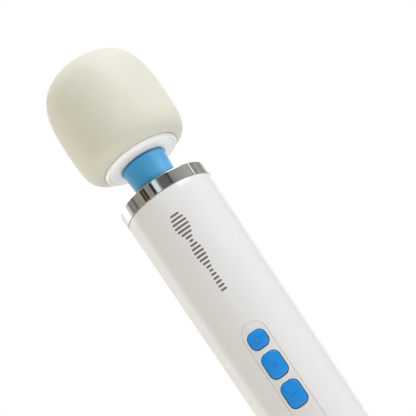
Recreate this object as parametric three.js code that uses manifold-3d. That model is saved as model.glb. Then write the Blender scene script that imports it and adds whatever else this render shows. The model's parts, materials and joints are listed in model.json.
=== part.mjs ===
// Handheld wand massager, in millimetres, standing upright on its flat base.
// +Z runs up the wand from the base to the head. The control panel faces -Y, and +X is
// to its right. The origin is the centre of the base.
//
// A motor in the handle turns a flexible shaft through the bending neck, and the shaft
// spins an eccentric weight in the head.
import * as THREE from 'three';
import { mergeVertices } from 'three/addons/utils/BufferGeometryUtils.js';
import Module from 'manifold-3d';

const wasm = await Module();
wasm.setup();

// ---------------------------------------------------------------- driving dimensions

// Overall stack
const HANDLE_LENGTH = 241;
const RING_HEIGHT = 6.9;
const NECK_LENGTH = 19.1;
const HEAD_BASE_HEIGHT = 2;
const HEAD_CAP_HEIGHT = 61;

// Handle casing
const HANDLE_BASE_RADIUS = 20;
const HANDLE_TOP_RADIUS = 24.3;
const HOUSING_WALL = 2.4;
const RING_PROUD = 0.2;
const RING_BEVEL = 0.4;
const END_CAP_HEIGHT = 14;
const END_CAP_SPIGOT = 6;
const END_CAP_WALL = 2.2;
const BASE_EDGE_ROUND = 4;
const SCREW_BOSS_WALL = 2;
const SCREW_WELL_WALL = 1.1;
const SIDE_SCREW_INSET = 7;
const SIDE_SCREW_BELOW_RING = 14;
const LOWEST_SCREW_ABOVE_CAP = 16;
const SCREW_BELOW_PANEL = 8;

// Power inlet in the end cap
const INLET_WELL_RADIUS = 6.5;
const INLET_WELL_DEPTH = 8;
const JACK_BARREL_RADIUS = 4;
const JACK_BORE_RADIUS = 2.9;
const JACK_PIN_RADIUS = 1.05;
const JACK_BODY_WIDTH = 9;
const JACK_BODY_DEPTH = 11;
const JACK_BODY_HEIGHT = 12;
const JACK_BACK_WALL = 3;
const JACK_PIN_RECESS = 1;

// Neck
const NECK_BOTTOM_RADIUS = 11.3;
const NECK_TOP_RADIUS = 12.4;
const NECK_WALL = 1.8;
const NECK_LIP = 0.5;
const NECK_LIP_HEIGHT = 1.2;
const NECK_SWELL = 0.2;
const BOOT_FOOT_FLANGE = 3.5;
const BOOT_FOOT_THICKNESS = 1.8;
const TOP_CAP_RISE = 2.2;
const TOP_CAP_SKIRT = 6;
const TOP_CAP_WALL = 2;
const TOP_CAP_SHOULDER = 0.7;
const COLLAR_BEVEL = 1;
const CLAMP_DROP = 1;
const CLAMP_BORE_GAP = 1;
const CLAMP_THICKNESS = 2.4;
const NECK_SPRING_WIRE = 1.8;
const NECK_SPRING_TURNS = 6;

// Head
const HEAD_RADIUS = 29.9;
const HEAD_BELLY_HEIGHT = 21;
const HEAD_EDGE_PULL = 1;
const HEAD_SIDE_PULL = 13;
const HEAD_TOP_PULL = 17;
const HEAD_SIDE_DRAFT = 0.3;
const HEAD_BASE_RADIUS = 21.15;
const HEAD_BASE_FLAT_RADIUS = 19;
const HEAD_BASE_EDGE = 0.7;
const HEAD_BASE_EDGE_INSET = 0.5;
const COVER_THICKNESS = 1;
const COVER_BEVEL = 0.25;
const COVER_UNDER_BOOT = 0.5;
const COVER_PEG_RADIUS = 1;
const COVER_PEG_LENGTH = 1.5;
const HEAD_CAP_WALL = 3;
const HEAD_SHELL_WALL = 2.2;
const HEAD_PLATE_THICKNESS = 4;
const NECK_STUB_LENGTH = 7;
const NECK_STUB_WALL = 1.6;
const WEIGHT_RADIUS = 15.4;
const WEIGHT_HEIGHT = 16;
const WEIGHT_HUB_RADIUS = 7.5;
const WEIGHT_HOUSING_WALL = 1.6;
const WEIGHT_CLEARANCE = 1.8;
const WEIGHT_ABOVE_HUB = 5;
const BEARING_ABOVE_WEIGHT = 3;
const HOUSING_TOP_WALL = 2;
const HEAD_SHAFT_RADIUS = 4;
const HEAD_SHAFT_ABOVE_BASE = 1.5;
const HEAD_SHAFT_BORE_GAP = 1;
const SHAFT_SHOULDER = 1.5;
const SHAFT_SHOULDER_HEIGHT = 2;
const FLEX_SOCKET_DEPTH = 8;
const BEARING_RADIUS = 9;
const BEARING_HEIGHT = 6;
const BEARING_SEAT_WALL = 2.2;
const BEARING_ABOVE_PLATE = 1;
const BEARING_SEAT_RISE = 0.5;
const HEAD_SCREW_CIRCLE = 15;
const HEAD_SCREW_COUNT = 3;
const HEAD_SCREW_HEAD_RADIUS = 2.1;
const HEAD_SCREW_HEAD_HEIGHT = 1.3;
const HEAD_SCREW_RIM_HEIGHT = 0.6;
const HEAD_SCREW_RECESS = 1.5;
const HEAD_SCREW_REACH = 7;
const HEAD_SCREW_POST_RADIUS = 2.9;
const HEAD_SCREW_POST_RISE = 1.5;
const HEAD_SCREW_TIP_GAP = 0.5;

// Control panel and buttons
const PANEL_WIDTH = 12.5;
const PANEL_THICKNESS = 1.5;
const PANEL_PROUD = 0.1;
const PANEL_TOP_BELOW_RING = 76;
const PANEL_LENGTH = 65;
const BUTTON_WIDTH = 9.1;
const BUTTON_HEIGHT = 12.5;
const BUTTON_CORNER = 3.2;
const POWER_BUTTON_HEIGHT = 8.4;
const BUTTON_GAP = 3.25;
const PLUS_BELOW_RING = 98.75;
const BUTTON_PROUD = 0.5;
const BUTTON_TRAVEL = 0.8;
const BUTTON_FLANGE = 1.3;
const BUTTON_FLANGE_THICKNESS = 1.2;
const BUTTON_STEM_RADIUS = 2;

// Circuit board and switches
const BOARD_WIDTH = 16;
const BOARD_THICKNESS = 1.6;
const BOARD_MARGIN = 10;
const BOARD_FOOT = 2;
const BOARD_SCREW_MARGIN = 4;
const BOARD_BOSS_RADIUS = 2.5;
const BOARD_SCREW_LENGTH = 5.5;
const CHIP_SIZE = 8;
const CHIP_THICKNESS = 1.6;
const CAPACITOR_RADIUS = 4;
const CAPACITOR_LENGTH = 12;
const CAPACITOR_EDGE = 1;
const CAPACITOR_END = 0.9;
const SWITCH_SIZE = 6;
const SWITCH_HEIGHT = 3.5;
const PLUNGER_RADIUS = 1.5;
const PLUNGER_PROUD = 1.2;
const PLUNGER_DEPTH = 1.2;

// Motor and its shaft
const MOTOR_RADIUS = 15;
const MOTOR_LENGTH = 40;
const MOTOR_BELOW_RING = 19;
const MOTOR_CAN_WALL = 1.2;
const MOTOR_BELL_THICKNESS = 4;
const MOTOR_MOUNT_HEIGHT = 7;
const MOTOR_MOUNT_MARGIN = 3;
const MOTOR_BOSS_HEIGHT = 2.5;
const MOTOR_BOSS_WALL = 2;
const BELL_SPIGOT_HEIGHT = 3;
const BELL_SPIGOT_WALL = 1.5;
const BUSHING_WALL = 1.5;
const MAGNET_THICKNESS = 2.9;
const MAGNET_ARC = 2.4;
const ROTOR_LENGTH = 22;
const ROTOR_SLOT_WIDTH = 3.4;
const ROTOR_SLOT_FLOOR = 5;
const ROTOR_TOP_GAP = 5;
const ROTOR_GAP = 0.5;
const WINDING_END_HEIGHT = 3.5;
const COMMUTATOR_RADIUS = 3.6;
const COMMUTATOR_LENGTH = 7;
const COMMUTATOR_ABOVE_BELL = 1;
const BRUSH_LENGTH = 5;
const BRUSH_WIDTH = 3;
const BRUSH_MARGIN = 1;
const MOTOR_SHAFT_RADIUS = 1.6;
const COUPLING_RADIUS = 5;
const COUPLING_LENGTH = 9;
const COUPLING_ABOVE_BOSS = 1;
const SHAFT_END_RECESS = 0.5;
const FLEX_SHAFT_RADIUS = 1.6;

// Fasteners
const SCREW_SHANK_RADIUS = 1.3;
const SCREW_HEAD_RADIUS = 2.7;
const SCREW_HEAD_HEIGHT = 1.8;
const SCREW_LENGTH = 12;
const SCREW_SEAT_HEIGHT = 4;
const SCREW_RIM_SHARE = 0.6;
const SCREW_CROWN_SHARE = 0.7;
const PILOT_EXTRA = 1;
const SMALL_SCREW_SHANK_RADIUS = 0.85;
const SMALL_SCREW_HEAD_RADIUS = 1.9;
const SMALL_SCREW_HEAD_HEIGHT = 1.1;
const LEAD_RADIUS = 0.8;
const LEAD_END_GAP = 0.7;
const LEAD_INLET_X = 2.5;
const LEAD_POST_X = 5.7;
const LEAD_WIDEST_X = 7;
const LEAD_BOARD_X = 5;
const LEAD_MOTOR_X = 8;
const LEAD_MOTOR_Y = -6;
const LEAD_BOW = 2;

// Clearances
const FIT = 0.1;
const SHAFT_FIT = 0.05;
const SLIP = 0.3;

// How far cutting shapes reach past what they cut, and past the whole casing
const OVERCUT = 1;
const REACH = 60;

// Facets round a full turn
const ROUND = 32;
const INNER_ROUND = 16;
const POST_ROUND = 12;
const SMALL_ROUND = 8;
const ARC_STEPS = 2;
const FILLET_STEPS = 3;
const WIRE_STEPS = 3;
const MAGNET_STEPS = 3;
const OUTLINE_STEPS = 6;
const COIL_STEPS_PER_TURN = 10;
const SUPPLY_LEAD_STEPS = 16;
const MOTOR_LEAD_STEPS = 8;

// ---------------------------------------------------------------- heights and radii

const ringTopZ = HANDLE_LENGTH + RING_HEIGHT;
const headBaseZ = ringTopZ + NECK_LENGTH;
const headSplitZ = headBaseZ + HEAD_BASE_HEIGHT;
const headPlateTopZ = headBaseZ + HEAD_PLATE_THICKNESS;

const handleRadius = (z) =>
  HANDLE_BASE_RADIUS + (HANDLE_TOP_RADIUS - HANDLE_BASE_RADIUS) * (z / HANDLE_LENGTH);
const innerRadius = (z) => handleRadius(z) - HOUSING_WALL;

const clampTopZ = HANDLE_LENGTH - BOOT_FOOT_THICKNESS - 2 * FIT - CLAMP_DROP;
const bootFootZ = clampTopZ + FIT;
const capPlateZ = bootFootZ + BOOT_FOOT_THICKNESS + FIT;
const topCapRadius = innerRadius(capPlateZ - TOP_CAP_SKIRT) - FIT;

const panelTopZ = HANDLE_LENGTH - PANEL_TOP_BELOW_RING;
const panelBottomZ = panelTopZ - PANEL_LENGTH;
const plusZ = HANDLE_LENGTH - PLUS_BELOW_RING;
const minusZ = plusZ - BUTTON_HEIGHT - BUTTON_GAP;
const powerZ = plusZ + (BUTTON_HEIGHT + POWER_BUTTON_HEIGHT) / 2 + BUTTON_GAP;
const BUTTONS = [
  { name: 'power', z: powerZ, height: POWER_BUTTON_HEIGHT },
  { name: 'plus', z: plusZ, height: BUTTON_HEIGHT },
  { name: 'minus', z: minusZ, height: BUTTON_HEIGHT },
];

// The board stands just behind the lowest button's flange, where the casing is narrowest.
const flangeHalfWidth = BUTTON_WIDTH / 2 + BUTTON_FLANGE;
const flangeFrontY = (z) => SLIP / 2 - Math.sqrt(innerRadius(z) ** 2 - flangeHalfWidth ** 2);
const lowestFlangeZ = minusZ - BUTTON_HEIGHT / 2 - BUTTON_FLANGE;
const switchFrontY = flangeFrontY(lowestFlangeZ) + BUTTON_FLANGE_THICKNESS + BUTTON_TRAVEL + PLUNGER_PROUD;
const boardFrontY = switchFrontY + SWITCH_HEIGHT;
const boardBackY = boardFrontY + BOARD_THICKNESS;
const boardBottomZ = minusZ - BUTTON_HEIGHT / 2 - BOARD_MARGIN - BOARD_FOOT;
const boardTopZ = powerZ + POWER_BUTTON_HEIGHT / 2 + BOARD_MARGIN;
const boardScrewZ = [boardBottomZ + BOARD_SCREW_MARGIN, boardTopZ - BOARD_SCREW_MARGIN];

const motorTopZ = HANDLE_LENGTH - MOTOR_BELOW_RING;
const motorBottomZ = motorTopZ - MOTOR_LENGTH;
const motorBossTopZ = motorTopZ + MOTOR_BOSS_HEIGHT;
const commutatorZ = motorBottomZ + COMMUTATOR_ABOVE_BELL;
const rotorZ = motorTopZ - MOTOR_CAN_WALL - ROTOR_TOP_GAP - ROTOR_LENGTH;
const couplingZ = motorBossTopZ + COUPLING_ABOVE_BOSS;
const couplingTopZ = couplingZ + COUPLING_LENGTH;
const shaftMeetingZ = couplingZ + COUPLING_LENGTH / 2;
const magnetRadius = MOTOR_RADIUS - MOTOR_CAN_WALL - FIT;
const rotorRadius = magnetRadius - MAGNET_THICKNESS - ROTOR_GAP;

const bearingSeatRadius = BEARING_RADIUS + SHAFT_FIT;
const lowerBearingZ = headPlateTopZ + BEARING_ABOVE_PLATE;
const hubTopZ = lowerBearingZ + BEARING_HEIGHT + BEARING_SEAT_RISE;
const weightZ = hubTopZ + WEIGHT_ABOVE_HUB;
const upperBearingZ = weightZ + WEIGHT_HEIGHT + BEARING_ABOVE_WEIGHT;
const headShaftZ = headBaseZ + HEAD_SHAFT_ABOVE_BASE;
const flexShaftTopZ = headShaftZ + FLEX_SOCKET_DEPTH;
const weightHousingTopZ = upperBearingZ + BEARING_HEIGHT + BEARING_SEAT_RISE + HOUSING_TOP_WALL;
const weightHousingRadius = WEIGHT_RADIUS + WEIGHT_CLEARANCE + WEIGHT_HOUSING_WALL;
const neckStubRadius = NECK_TOP_RADIUS - NECK_WALL - FIT;

// The radius of a faceted bore whose flats clear a shaft that turns in it.
const turningBore = (shaftRadius) => (shaftRadius + SHAFT_FIT) / Math.cos(Math.PI / INNER_ROUND);

const housingBottomZ = END_CAP_HEIGHT + SHAFT_FIT;
const centreScrewZ = [housingBottomZ + LOWEST_SCREW_ABOVE_CAP, panelBottomZ - SCREW_BELOW_PANEL];
const sideScrewZ = HANDLE_LENGTH - SIDE_SCREW_BELOW_RING;
const sideScrewX = innerRadius(sideScrewZ) - SIDE_SCREW_INSET;
const HOUSING_SCREWS = [
  { x: 0, z: centreScrewZ[0] },
  { x: 0, z: centreScrewZ[1] },
  { x: -sideScrewX, z: sideScrewZ },
  { x: sideScrewX, z: sideScrewZ },
];

// ---------------------------------------------------------------- geometry helpers

// A solid of revolution about +Z from [radius, height] points. The outline runs with its
// outer wall going up, and starts and ends on the axis or closes on itself.
function revolve(points, segments = ROUND) {
  const outline = points.map(([r, z]) => new THREE.Vector2(r, z));
  return new THREE.LatheGeometry(outline, segments).rotateX(Math.PI / 2);
}

// The same for a ring-shaped section, whose last point is joined to its first.
const revolveRing = (points, segments = ROUND) => revolve([...points, points[0]], segments);

const tube = (inner, outer, z0, z1, segments = ROUND) =>
  revolveRing([[inner, z0], [outer, z0], [outer, z1], [inner, z1]], segments);

const rod = (radius, z0, z1, segments = SMALL_ROUND) =>
  revolve([[0, z0], [radius, z0], [radius, z1], [0, z1]], segments);

// A rod along +Y, from y0 to y1.
const rodY = (radius, x, z, y0, y1, segments = SMALL_ROUND) =>
  rod(radius, y0, y1, segments).rotateX(-Math.PI / 2).translate(x, 0, z);

function box(x0, x1, y0, y1, z0, z1) {
  const geometry = new THREE.BoxGeometry(x1 - x0, y1 - y0, z1 - z0);
  return geometry.translate((x0 + x1) / 2, (y0 + y1) / 2, (z0 + z1) / 2);
}

// A prism along Y of a shape drawn in X and Z.
function prismY(shape, y0, y1, curveSegments = ARC_STEPS) {
  const geometry = new THREE.ExtrudeGeometry(shape, {
    depth: y1 - y0, bevelEnabled: false, curveSegments,
  });
  return geometry.rotateX(Math.PI / 2).translate(0, y1, 0);
}

// A rounded rectangle centred on x = 0 and the height z.
function roundedRectangle(width, height, corner, z) {
  const x = width / 2;
  const top = z + height / 2;
  const bottom = z - height / 2;
  const shape = new THREE.Shape();
  shape.absarc(x - corner, top - corner, corner, 0, Math.PI / 2);
  shape.absarc(-x + corner, top - corner, corner, Math.PI / 2, Math.PI);
  shape.absarc(-x + corner, bottom + corner, corner, Math.PI, 1.5 * Math.PI);
  shape.absarc(x - corner, bottom + corner, corner, 1.5 * Math.PI, 2 * Math.PI);
  shape.closePath();
  return shape;
}

// A closed mesh with its shared corners merged and its empty triangles dropped.
function weld(geometry) {
  const bare = geometry.clone();
  bare.deleteAttribute('normal');
  bare.deleteAttribute('uv');
  const merged = mergeVertices(bare, 1e-4);
  const index = merged.index.array;
  const kept = [];
  for (let i = 0; i < index.length; i += 3) {
    const [a, b, c] = index.slice(i, i + 3);
    if (a !== b && b !== c && c !== a) kept.push(a, b, c);
  }
  merged.setIndex(kept);
  return merged;
}

function toSolid(geometry) {
  const welded = weld(geometry);
  return new wasm.Manifold(new wasm.Mesh({
    numProp: 3,
    vertProperties: new Float32Array(welded.attributes.position.array),
    triVerts: new Uint32Array(welded.index.array),
  }));
}

function toGeometry(solid) {
  const mesh = solid.getMesh();
  const geometry = new THREE.BufferGeometry();
  geometry.setAttribute('position', new THREE.BufferAttribute(mesh.vertProperties, 3));
  geometry.setIndex(new THREE.BufferAttribute(mesh.triVerts, 1));
  return geometry;
}

const join = (first, ...others) =>
  toGeometry(others.reduce((solid, other) => solid.add(toSolid(other)), toSolid(first)));
const cut = (first, ...tools) =>
  toGeometry(tools.reduce((solid, tool) => solid.subtract(toSolid(tool)), toSolid(first)));
const common = (first, second) => toGeometry(toSolid(first).intersect(toSolid(second)));

// A six-sided wire along a curve, closed at both ends.
function wire(curve, radius, steps) {
  const section = new THREE.Shape();
  section.absarc(0, 0, radius, 0, 2 * Math.PI);
  return new THREE.ExtrudeGeometry(section, {
    extrudePath: curve, steps, curveSegments: WIRE_STEPS, bevelEnabled: false,
  });
}

// ---------------------------------------------------------------- materials

const finish = (color, roughness, metalness = 0) =>
  new THREE.MeshStandardMaterial({ color, roughness, metalness });

const MATERIALS = {
  shell: () => finish(0xeeede9, 0.25),
  panel: () => finish(0xe9e8e4, 0.3),
  silicone: () => finish(0xe9e6d6, 0.6),
  blue: () => finish(0x3f8fd0, 0.4),
  button: () => finish(0x2385d6, 0.4),
  chrome: () => finish(0xd8dadc, 0.08, 1),
  steel: () => finish(0xa9abae, 0.35, 1),
  magnet: () => finish(0x3a3a3d, 0.6),
  copper: () => finish(0xb87333, 0.4, 1),
  brass: () => finish(0xc2a14d, 0.4, 1),
  board: () => finish(0x1f6b3a, 0.6),
  dark: () => finish(0x232325, 0.6),
  red: () => finish(0xb3261e, 0.6),
};

// ---------------------------------------------------------------- handle casing

const frontHalf = () => box(-REACH, REACH, -REACH, -SHAFT_FIT, -OVERCUT, HANDLE_LENGTH + OVERCUT);
const rearHalf = () => box(-REACH, REACH, SHAFT_FIT, REACH, -OVERCUT, HANDLE_LENGTH + OVERCUT);

function casing() {
  const z0 = housingBottomZ;
  const z1 = HANDLE_LENGTH;
  return revolveRing([
    [innerRadius(z0), z0], [handleRadius(z0), z0], [handleRadius(z1), z1], [innerRadius(z1), z1],
  ]);
}

// The space inside the casing's middle surface, which trims posts that grow from the wall.
function casingCore() {
  const z0 = housingBottomZ;
  const z1 = HANDLE_LENGTH;
  const inset = HOUSING_WALL / 2;
  return revolve([
    [0, z0], [handleRadius(z0) - inset, z0], [handleRadius(z1) - inset, z1], [0, z1],
  ]);
}

const panelOutline = (margin) =>
  roundedRectangle(
    PANEL_WIDTH + 2 * margin, PANEL_LENGTH + 2 * margin, PANEL_WIDTH / 2 + margin,
    (panelTopZ + panelBottomZ) / 2,
  );

const buttonOutline = (button, margin) =>
  roundedRectangle(
    BUTTON_WIDTH + 2 * margin, button.height + 2 * margin, BUTTON_CORNER + margin, button.z,
  );

// A skin of the casing's outer surface, from `depth` below it to `proud` above it.
function casingSkin(depth, proud) {
  const z0 = housingBottomZ;
  const z1 = HANDLE_LENGTH;
  return revolveRing([
    [handleRadius(z0) - depth, z0], [handleRadius(z0) + proud, z0],
    [handleRadius(z1) + proud, z1], [handleRadius(z1) - depth, z1],
  ]);
}

const buttonHoles = () =>
  BUTTONS.map((button) => prismY(buttonOutline(button, SLIP), -REACH, switchFrontY));

function frontHousing() {
  const outline = prismY(panelOutline(FIT), -REACH, 0, 2 * ARC_STEPS);
  const recess = common(casingSkin(PANEL_THICKNESS + FIT, OVERCUT), outline);
  const bossRadius = SCREW_SHANK_RADIUS + SCREW_BOSS_WALL;
  const screwBosses = HOUSING_SCREWS.map(({ x, z }) =>
    rodY(bossRadius, x, z, -REACH, -SHAFT_FIT, POST_ROUND));
  const boardBosses = boardScrewZ.map((z) =>
    rodY(BOARD_BOSS_RADIUS, 0, z, -REACH, boardFrontY - SHAFT_FIT));
  const posts = common(join(...screwBosses, ...boardBosses), casingCore());
  const shell = join(common(casing(), frontHalf()), posts);
  const pilots = HOUSING_SCREWS.map(({ x, z }) =>
    rodY(SCREW_SHANK_RADIUS + SHAFT_FIT, x, z, SCREW_SEAT_HEIGHT - SCREW_LENGTH - PILOT_EXTRA, OVERCUT));
  const boardPilotY = boardBackY - BOARD_SCREW_LENGTH - PILOT_EXTRA / 2;
  const boardPilots = boardScrewZ.map((z) =>
    rodY(SMALL_SCREW_SHANK_RADIUS + SHAFT_FIT, 0, z, boardPilotY, boardFrontY + OVERCUT));
  return cut(shell, recess, ...buttonHoles(), ...pilots, ...boardPilots);
}

function rearHousing() {
  const seat = SCREW_HEAD_RADIUS + SLIP;
  const posts = HOUSING_SCREWS.map(({ x, z }) =>
    rodY(seat + SCREW_WELL_WALL, x, z, SHAFT_FIT, REACH, POST_ROUND));
  const shell = join(common(casing(), rearHalf()), common(join(...posts), casingCore()));
  const wells = HOUSING_SCREWS.map(({ x, z }) =>
    rodY(seat, x, z, SCREW_SEAT_HEIGHT, REACH, POST_ROUND));
  const holes = HOUSING_SCREWS.map(({ x, z }) =>
    rodY(SCREW_SHANK_RADIUS + SLIP, x, z, -OVERCUT, REACH));
  return cut(shell, ...wells, ...holes);
}

function controlPanel() {
  const outline = prismY(panelOutline(0), -REACH, 0, 2 * ARC_STEPS);
  return cut(common(casingSkin(PANEL_THICKNESS, PANEL_PROUD), outline), ...buttonHoles());
}

function chromeRing() {
  const outer = HANDLE_TOP_RADIUS + RING_PROUD;
  return revolveRing([
    [topCapRadius + FIT, HANDLE_LENGTH + SHAFT_FIT],
    [outer, HANDLE_LENGTH + SHAFT_FIT],
    [outer, ringTopZ - RING_BEVEL],
    [outer - RING_BEVEL, ringTopZ],
    [topCapRadius + FIT, ringTopZ],
  ]);
}

// The cap inside the ring: a plate with a collar for the boot, on a skirt in the casing.
function topCap() {
  const bore = NECK_BOTTOM_RADIUS + SLIP;
  const skirtInner = topCapRadius - TOP_CAP_WALL;
  return revolveRing([
    [skirtInner, capPlateZ - TOP_CAP_SKIRT],
    [topCapRadius, capPlateZ - TOP_CAP_SKIRT],
    [topCapRadius, ringTopZ],
    [(topCapRadius + bore) / 2, ringTopZ + TOP_CAP_RISE * TOP_CAP_SHOULDER],
    [bore + COLLAR_BEVEL, ringTopZ + TOP_CAP_RISE],
    [bore, ringTopZ + TOP_CAP_RISE - COLLAR_BEVEL],
    [bore, capPlateZ],
    [skirtInner, capPlateZ],
  ]);
}

const neckClamp = () =>
  tube(
    COUPLING_RADIUS + CLAMP_BORE_GAP, topCapRadius - TOP_CAP_WALL - FIT,
    clampTopZ - CLAMP_THICKNESS, clampTopZ,
  );

// The end cap: a rounded base with a spigot in the casing and a well round the inlet.
function endCap() {
  const spigot = innerRadius(END_CAP_HEIGHT) - FIT;
  const baseRadius = handleRadius(0);
  const fillet = [];
  for (let step = 0; step <= FILLET_STEPS; step += 1) {
    const angle = (step / FILLET_STEPS) * (Math.PI / 2);
    fillet.push([
      baseRadius - BASE_EDGE_ROUND * (1 - Math.sin(angle)),
      BASE_EDGE_ROUND * (1 - Math.cos(angle)),
    ]);
  }
  return revolveRing([
    [INLET_WELL_RADIUS, 0],
    ...fillet,
    [handleRadius(END_CAP_HEIGHT), END_CAP_HEIGHT],
    [spigot, END_CAP_HEIGHT],
    [spigot, END_CAP_HEIGHT + END_CAP_SPIGOT],
    [spigot - END_CAP_WALL, END_CAP_HEIGHT + END_CAP_SPIGOT],
    [baseRadius - BASE_EDGE_ROUND, BASE_EDGE_ROUND],
    [INLET_WELL_RADIUS + END_CAP_WALL, END_CAP_WALL],
    [INLET_WELL_RADIUS + END_CAP_WALL, INLET_WELL_DEPTH + END_CAP_WALL],
    [JACK_BARREL_RADIUS + FIT, INLET_WELL_DEPTH + END_CAP_WALL],
    [JACK_BARREL_RADIUS + FIT, INLET_WELL_DEPTH],
    [INLET_WELL_RADIUS, INLET_WELL_DEPTH],
  ]);
}

// The inlet: a body above the cap's floor, its barrel through the floor, and a centre pin.
function dcJack() {
  const floorTop = INLET_WELL_DEPTH + END_CAP_WALL + SHAFT_FIT;
  const top = floorTop + JACK_BODY_HEIGHT;
  const x = JACK_BODY_WIDTH / 2;
  const y = JACK_BODY_DEPTH / 2;
  const body = join(
    box(-x, x, -y, y, floorTop, top),
    rod(JACK_BARREL_RADIUS, INLET_WELL_DEPTH, floorTop + OVERCUT, INNER_ROUND),
  );
  const bore = rod(JACK_BORE_RADIUS, INLET_WELL_DEPTH - OVERCUT, top - JACK_BACK_WALL, INNER_ROUND);
  const pin = rod(JACK_PIN_RADIUS, INLET_WELL_DEPTH + JACK_PIN_RECESS, top - JACK_BACK_WALL + OVERCUT);
  return join(cut(body, bore), pin);
}

// A pan-head screw along +Y with its head towards +Y, its seat at the height y.
function screwY(shank, head, headHeight, length, x, y, z) {
  const outline = [
    [0, y - length], [shank, y - length], [shank, y],
    [head, y], [head, y + headHeight * SCREW_RIM_SHARE],
    [head * SCREW_CROWN_SHARE, y + headHeight], [0, y + headHeight],
  ];
  return revolve(outline, SMALL_ROUND).rotateX(-Math.PI / 2).translate(x, 0, z);
}

const housingScrew = ({ x, z }) =>
  screwY(
    SCREW_SHANK_RADIUS, SCREW_HEAD_RADIUS, SCREW_HEAD_HEIGHT, SCREW_LENGTH,
    x, SCREW_SEAT_HEIGHT + SHAFT_FIT, z,
  );

// ---------------------------------------------------------------- controls

// A button: its cap through the panel, a flange behind the casing and a stem to the switch.
function buttonCap(button) {
  const front = -(handleRadius(button.z) + BUTTON_PROUD);
  const flangeY = flangeFrontY(button.z - button.height / 2 - BUTTON_FLANGE);
  const stemBack = switchFrontY - PLUNGER_PROUD - SHAFT_FIT;
  return join(
    prismY(buttonOutline(button, 0), front, flangeY + BUTTON_FLANGE_THICKNESS),
    prismY(buttonOutline(button, BUTTON_FLANGE), flangeY, flangeY + BUTTON_FLANGE_THICKNESS),
    rodY(BUTTON_STEM_RADIUS, 0, button.z, flangeY, stemBack),
  );
}

const switchPlunger = (button) =>
  rodY(PLUNGER_RADIUS, 0, button.z, switchFrontY - PLUNGER_PROUD, switchFrontY + PLUNGER_DEPTH);

function tactSwitch(button) {
  const half = SWITCH_SIZE / 2;
  const body = box(
    -half, half, switchFrontY, boardFrontY - SHAFT_FIT, button.z - half, button.z + half,
  );
  const boreEnd = switchFrontY + PLUNGER_DEPTH + BUTTON_TRAVEL + SLIP;
  return cut(body, rodY(PLUNGER_RADIUS + FIT, 0, button.z, switchFrontY - OVERCUT, boreEnd));
}

function circuitBoard() {
  const half = BOARD_WIDTH / 2;
  const board = box(-half, half, boardFrontY, boardBackY, boardBottomZ, boardTopZ);
  const holes = boardScrewZ.map((z) =>
    rodY(SMALL_SCREW_SHANK_RADIUS + SLIP, 0, z, boardFrontY - OVERCUT, boardBackY + OVERCUT));
  return cut(board, ...holes);
}

const boardScrew = (z) =>
  screwY(
    SMALL_SCREW_SHANK_RADIUS, SMALL_SCREW_HEAD_RADIUS, SMALL_SCREW_HEAD_HEIGHT,
    BOARD_SCREW_LENGTH, 0, boardBackY + SHAFT_FIT, z,
  );

function controlChip() {
  const y = boardBackY + SHAFT_FIT;
  return box(-CHIP_SIZE / 2, CHIP_SIZE / 2, y, y + CHIP_THICKNESS, minusZ, minusZ + CHIP_SIZE);
}

function smoothingCapacitor() {
  const radius = CAPACITOR_RADIUS;
  const end = radius * CAPACITOR_END;
  const top = plusZ + CAPACITOR_LENGTH;
  const capacitor = revolve([
    [0, plusZ], [end, plusZ], [radius, plusZ + CAPACITOR_EDGE],
    [radius, top - CAPACITOR_EDGE], [end, top], [0, top],
  ], SMALL_ROUND);
  return capacitor.translate(0, boardBackY + SHAFT_FIT + radius, 0);
}

// ---------------------------------------------------------------- motor

const bushingRadius = MOTOR_SHAFT_RADIUS + BUSHING_WALL;

function motorCan() {
  const inner = MOTOR_RADIUS - MOTOR_CAN_WALL;
  const lidZ = motorTopZ - MOTOR_CAN_WALL;
  const seat = bushingRadius + SHAFT_FIT;
  return revolveRing([
    [inner, motorBottomZ], [MOTOR_RADIUS, motorBottomZ], [MOTOR_RADIUS, motorTopZ],
    [seat + MOTOR_BOSS_WALL, motorTopZ], [seat + MOTOR_BOSS_WALL, motorBossTopZ],
    [seat, motorBossTopZ],
    [seat, lidZ], [inner, lidZ],
  ], INNER_ROUND);
}

function motorEndBell() {
  const inner = MOTOR_RADIUS - MOTOR_CAN_WALL - FIT;
  const seat = bushingRadius + SHAFT_FIT;
  const z0 = motorBottomZ - MOTOR_BELL_THICKNESS;
  const z1 = motorBottomZ - SHAFT_FIT;
  const spigotInner = inner - BELL_SPIGOT_WALL;
  const spigotTop = z1 + BELL_SPIGOT_HEIGHT;
  return revolveRing([
    [seat, z0], [MOTOR_RADIUS, z0], [MOTOR_RADIUS, z1], [inner, z1],
    [inner, spigotTop], [spigotInner, spigotTop], [spigotInner, z1], [seat, z1],
  ], INNER_ROUND);
}

const bushing = (z0, z1) =>
  tube(turningBore(MOTOR_SHAFT_RADIUS), bushingRadius, z0, z1, INNER_ROUND);

// A curved magnet inside the can, centred on the direction `angle` from +X.
function magnet(angle) {
  const shape = new THREE.Shape();
  const start = angle - MAGNET_ARC / 2;
  const end = angle + MAGNET_ARC / 2;
  shape.absarc(0, 0, magnetRadius - SLIP, start, end);
  shape.absarc(0, 0, magnetRadius - MAGNET_THICKNESS, end, start, true);
  shape.closePath();
  const geometry = new THREE.ExtrudeGeometry(shape, {
    depth: ROTOR_LENGTH, bevelEnabled: false, curveSegments: MAGNET_STEPS,
  });
  return geometry.translate(0, 0, rotorZ);
}

// A brush that rides on the commutator, on the side that `sign` gives.
function motorBrush(sign) {
  const near = COMMUTATOR_RADIUS + SHAFT_FIT;
  const brush = box(
    near, near + BRUSH_LENGTH, -BRUSH_WIDTH / 2, BRUSH_WIDTH / 2,
    commutatorZ + BRUSH_MARGIN, commutatorZ + COMMUTATOR_LENGTH - BRUSH_MARGIN,
  );
  return sign > 0 ? brush : brush.rotateZ(Math.PI);
}

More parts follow.
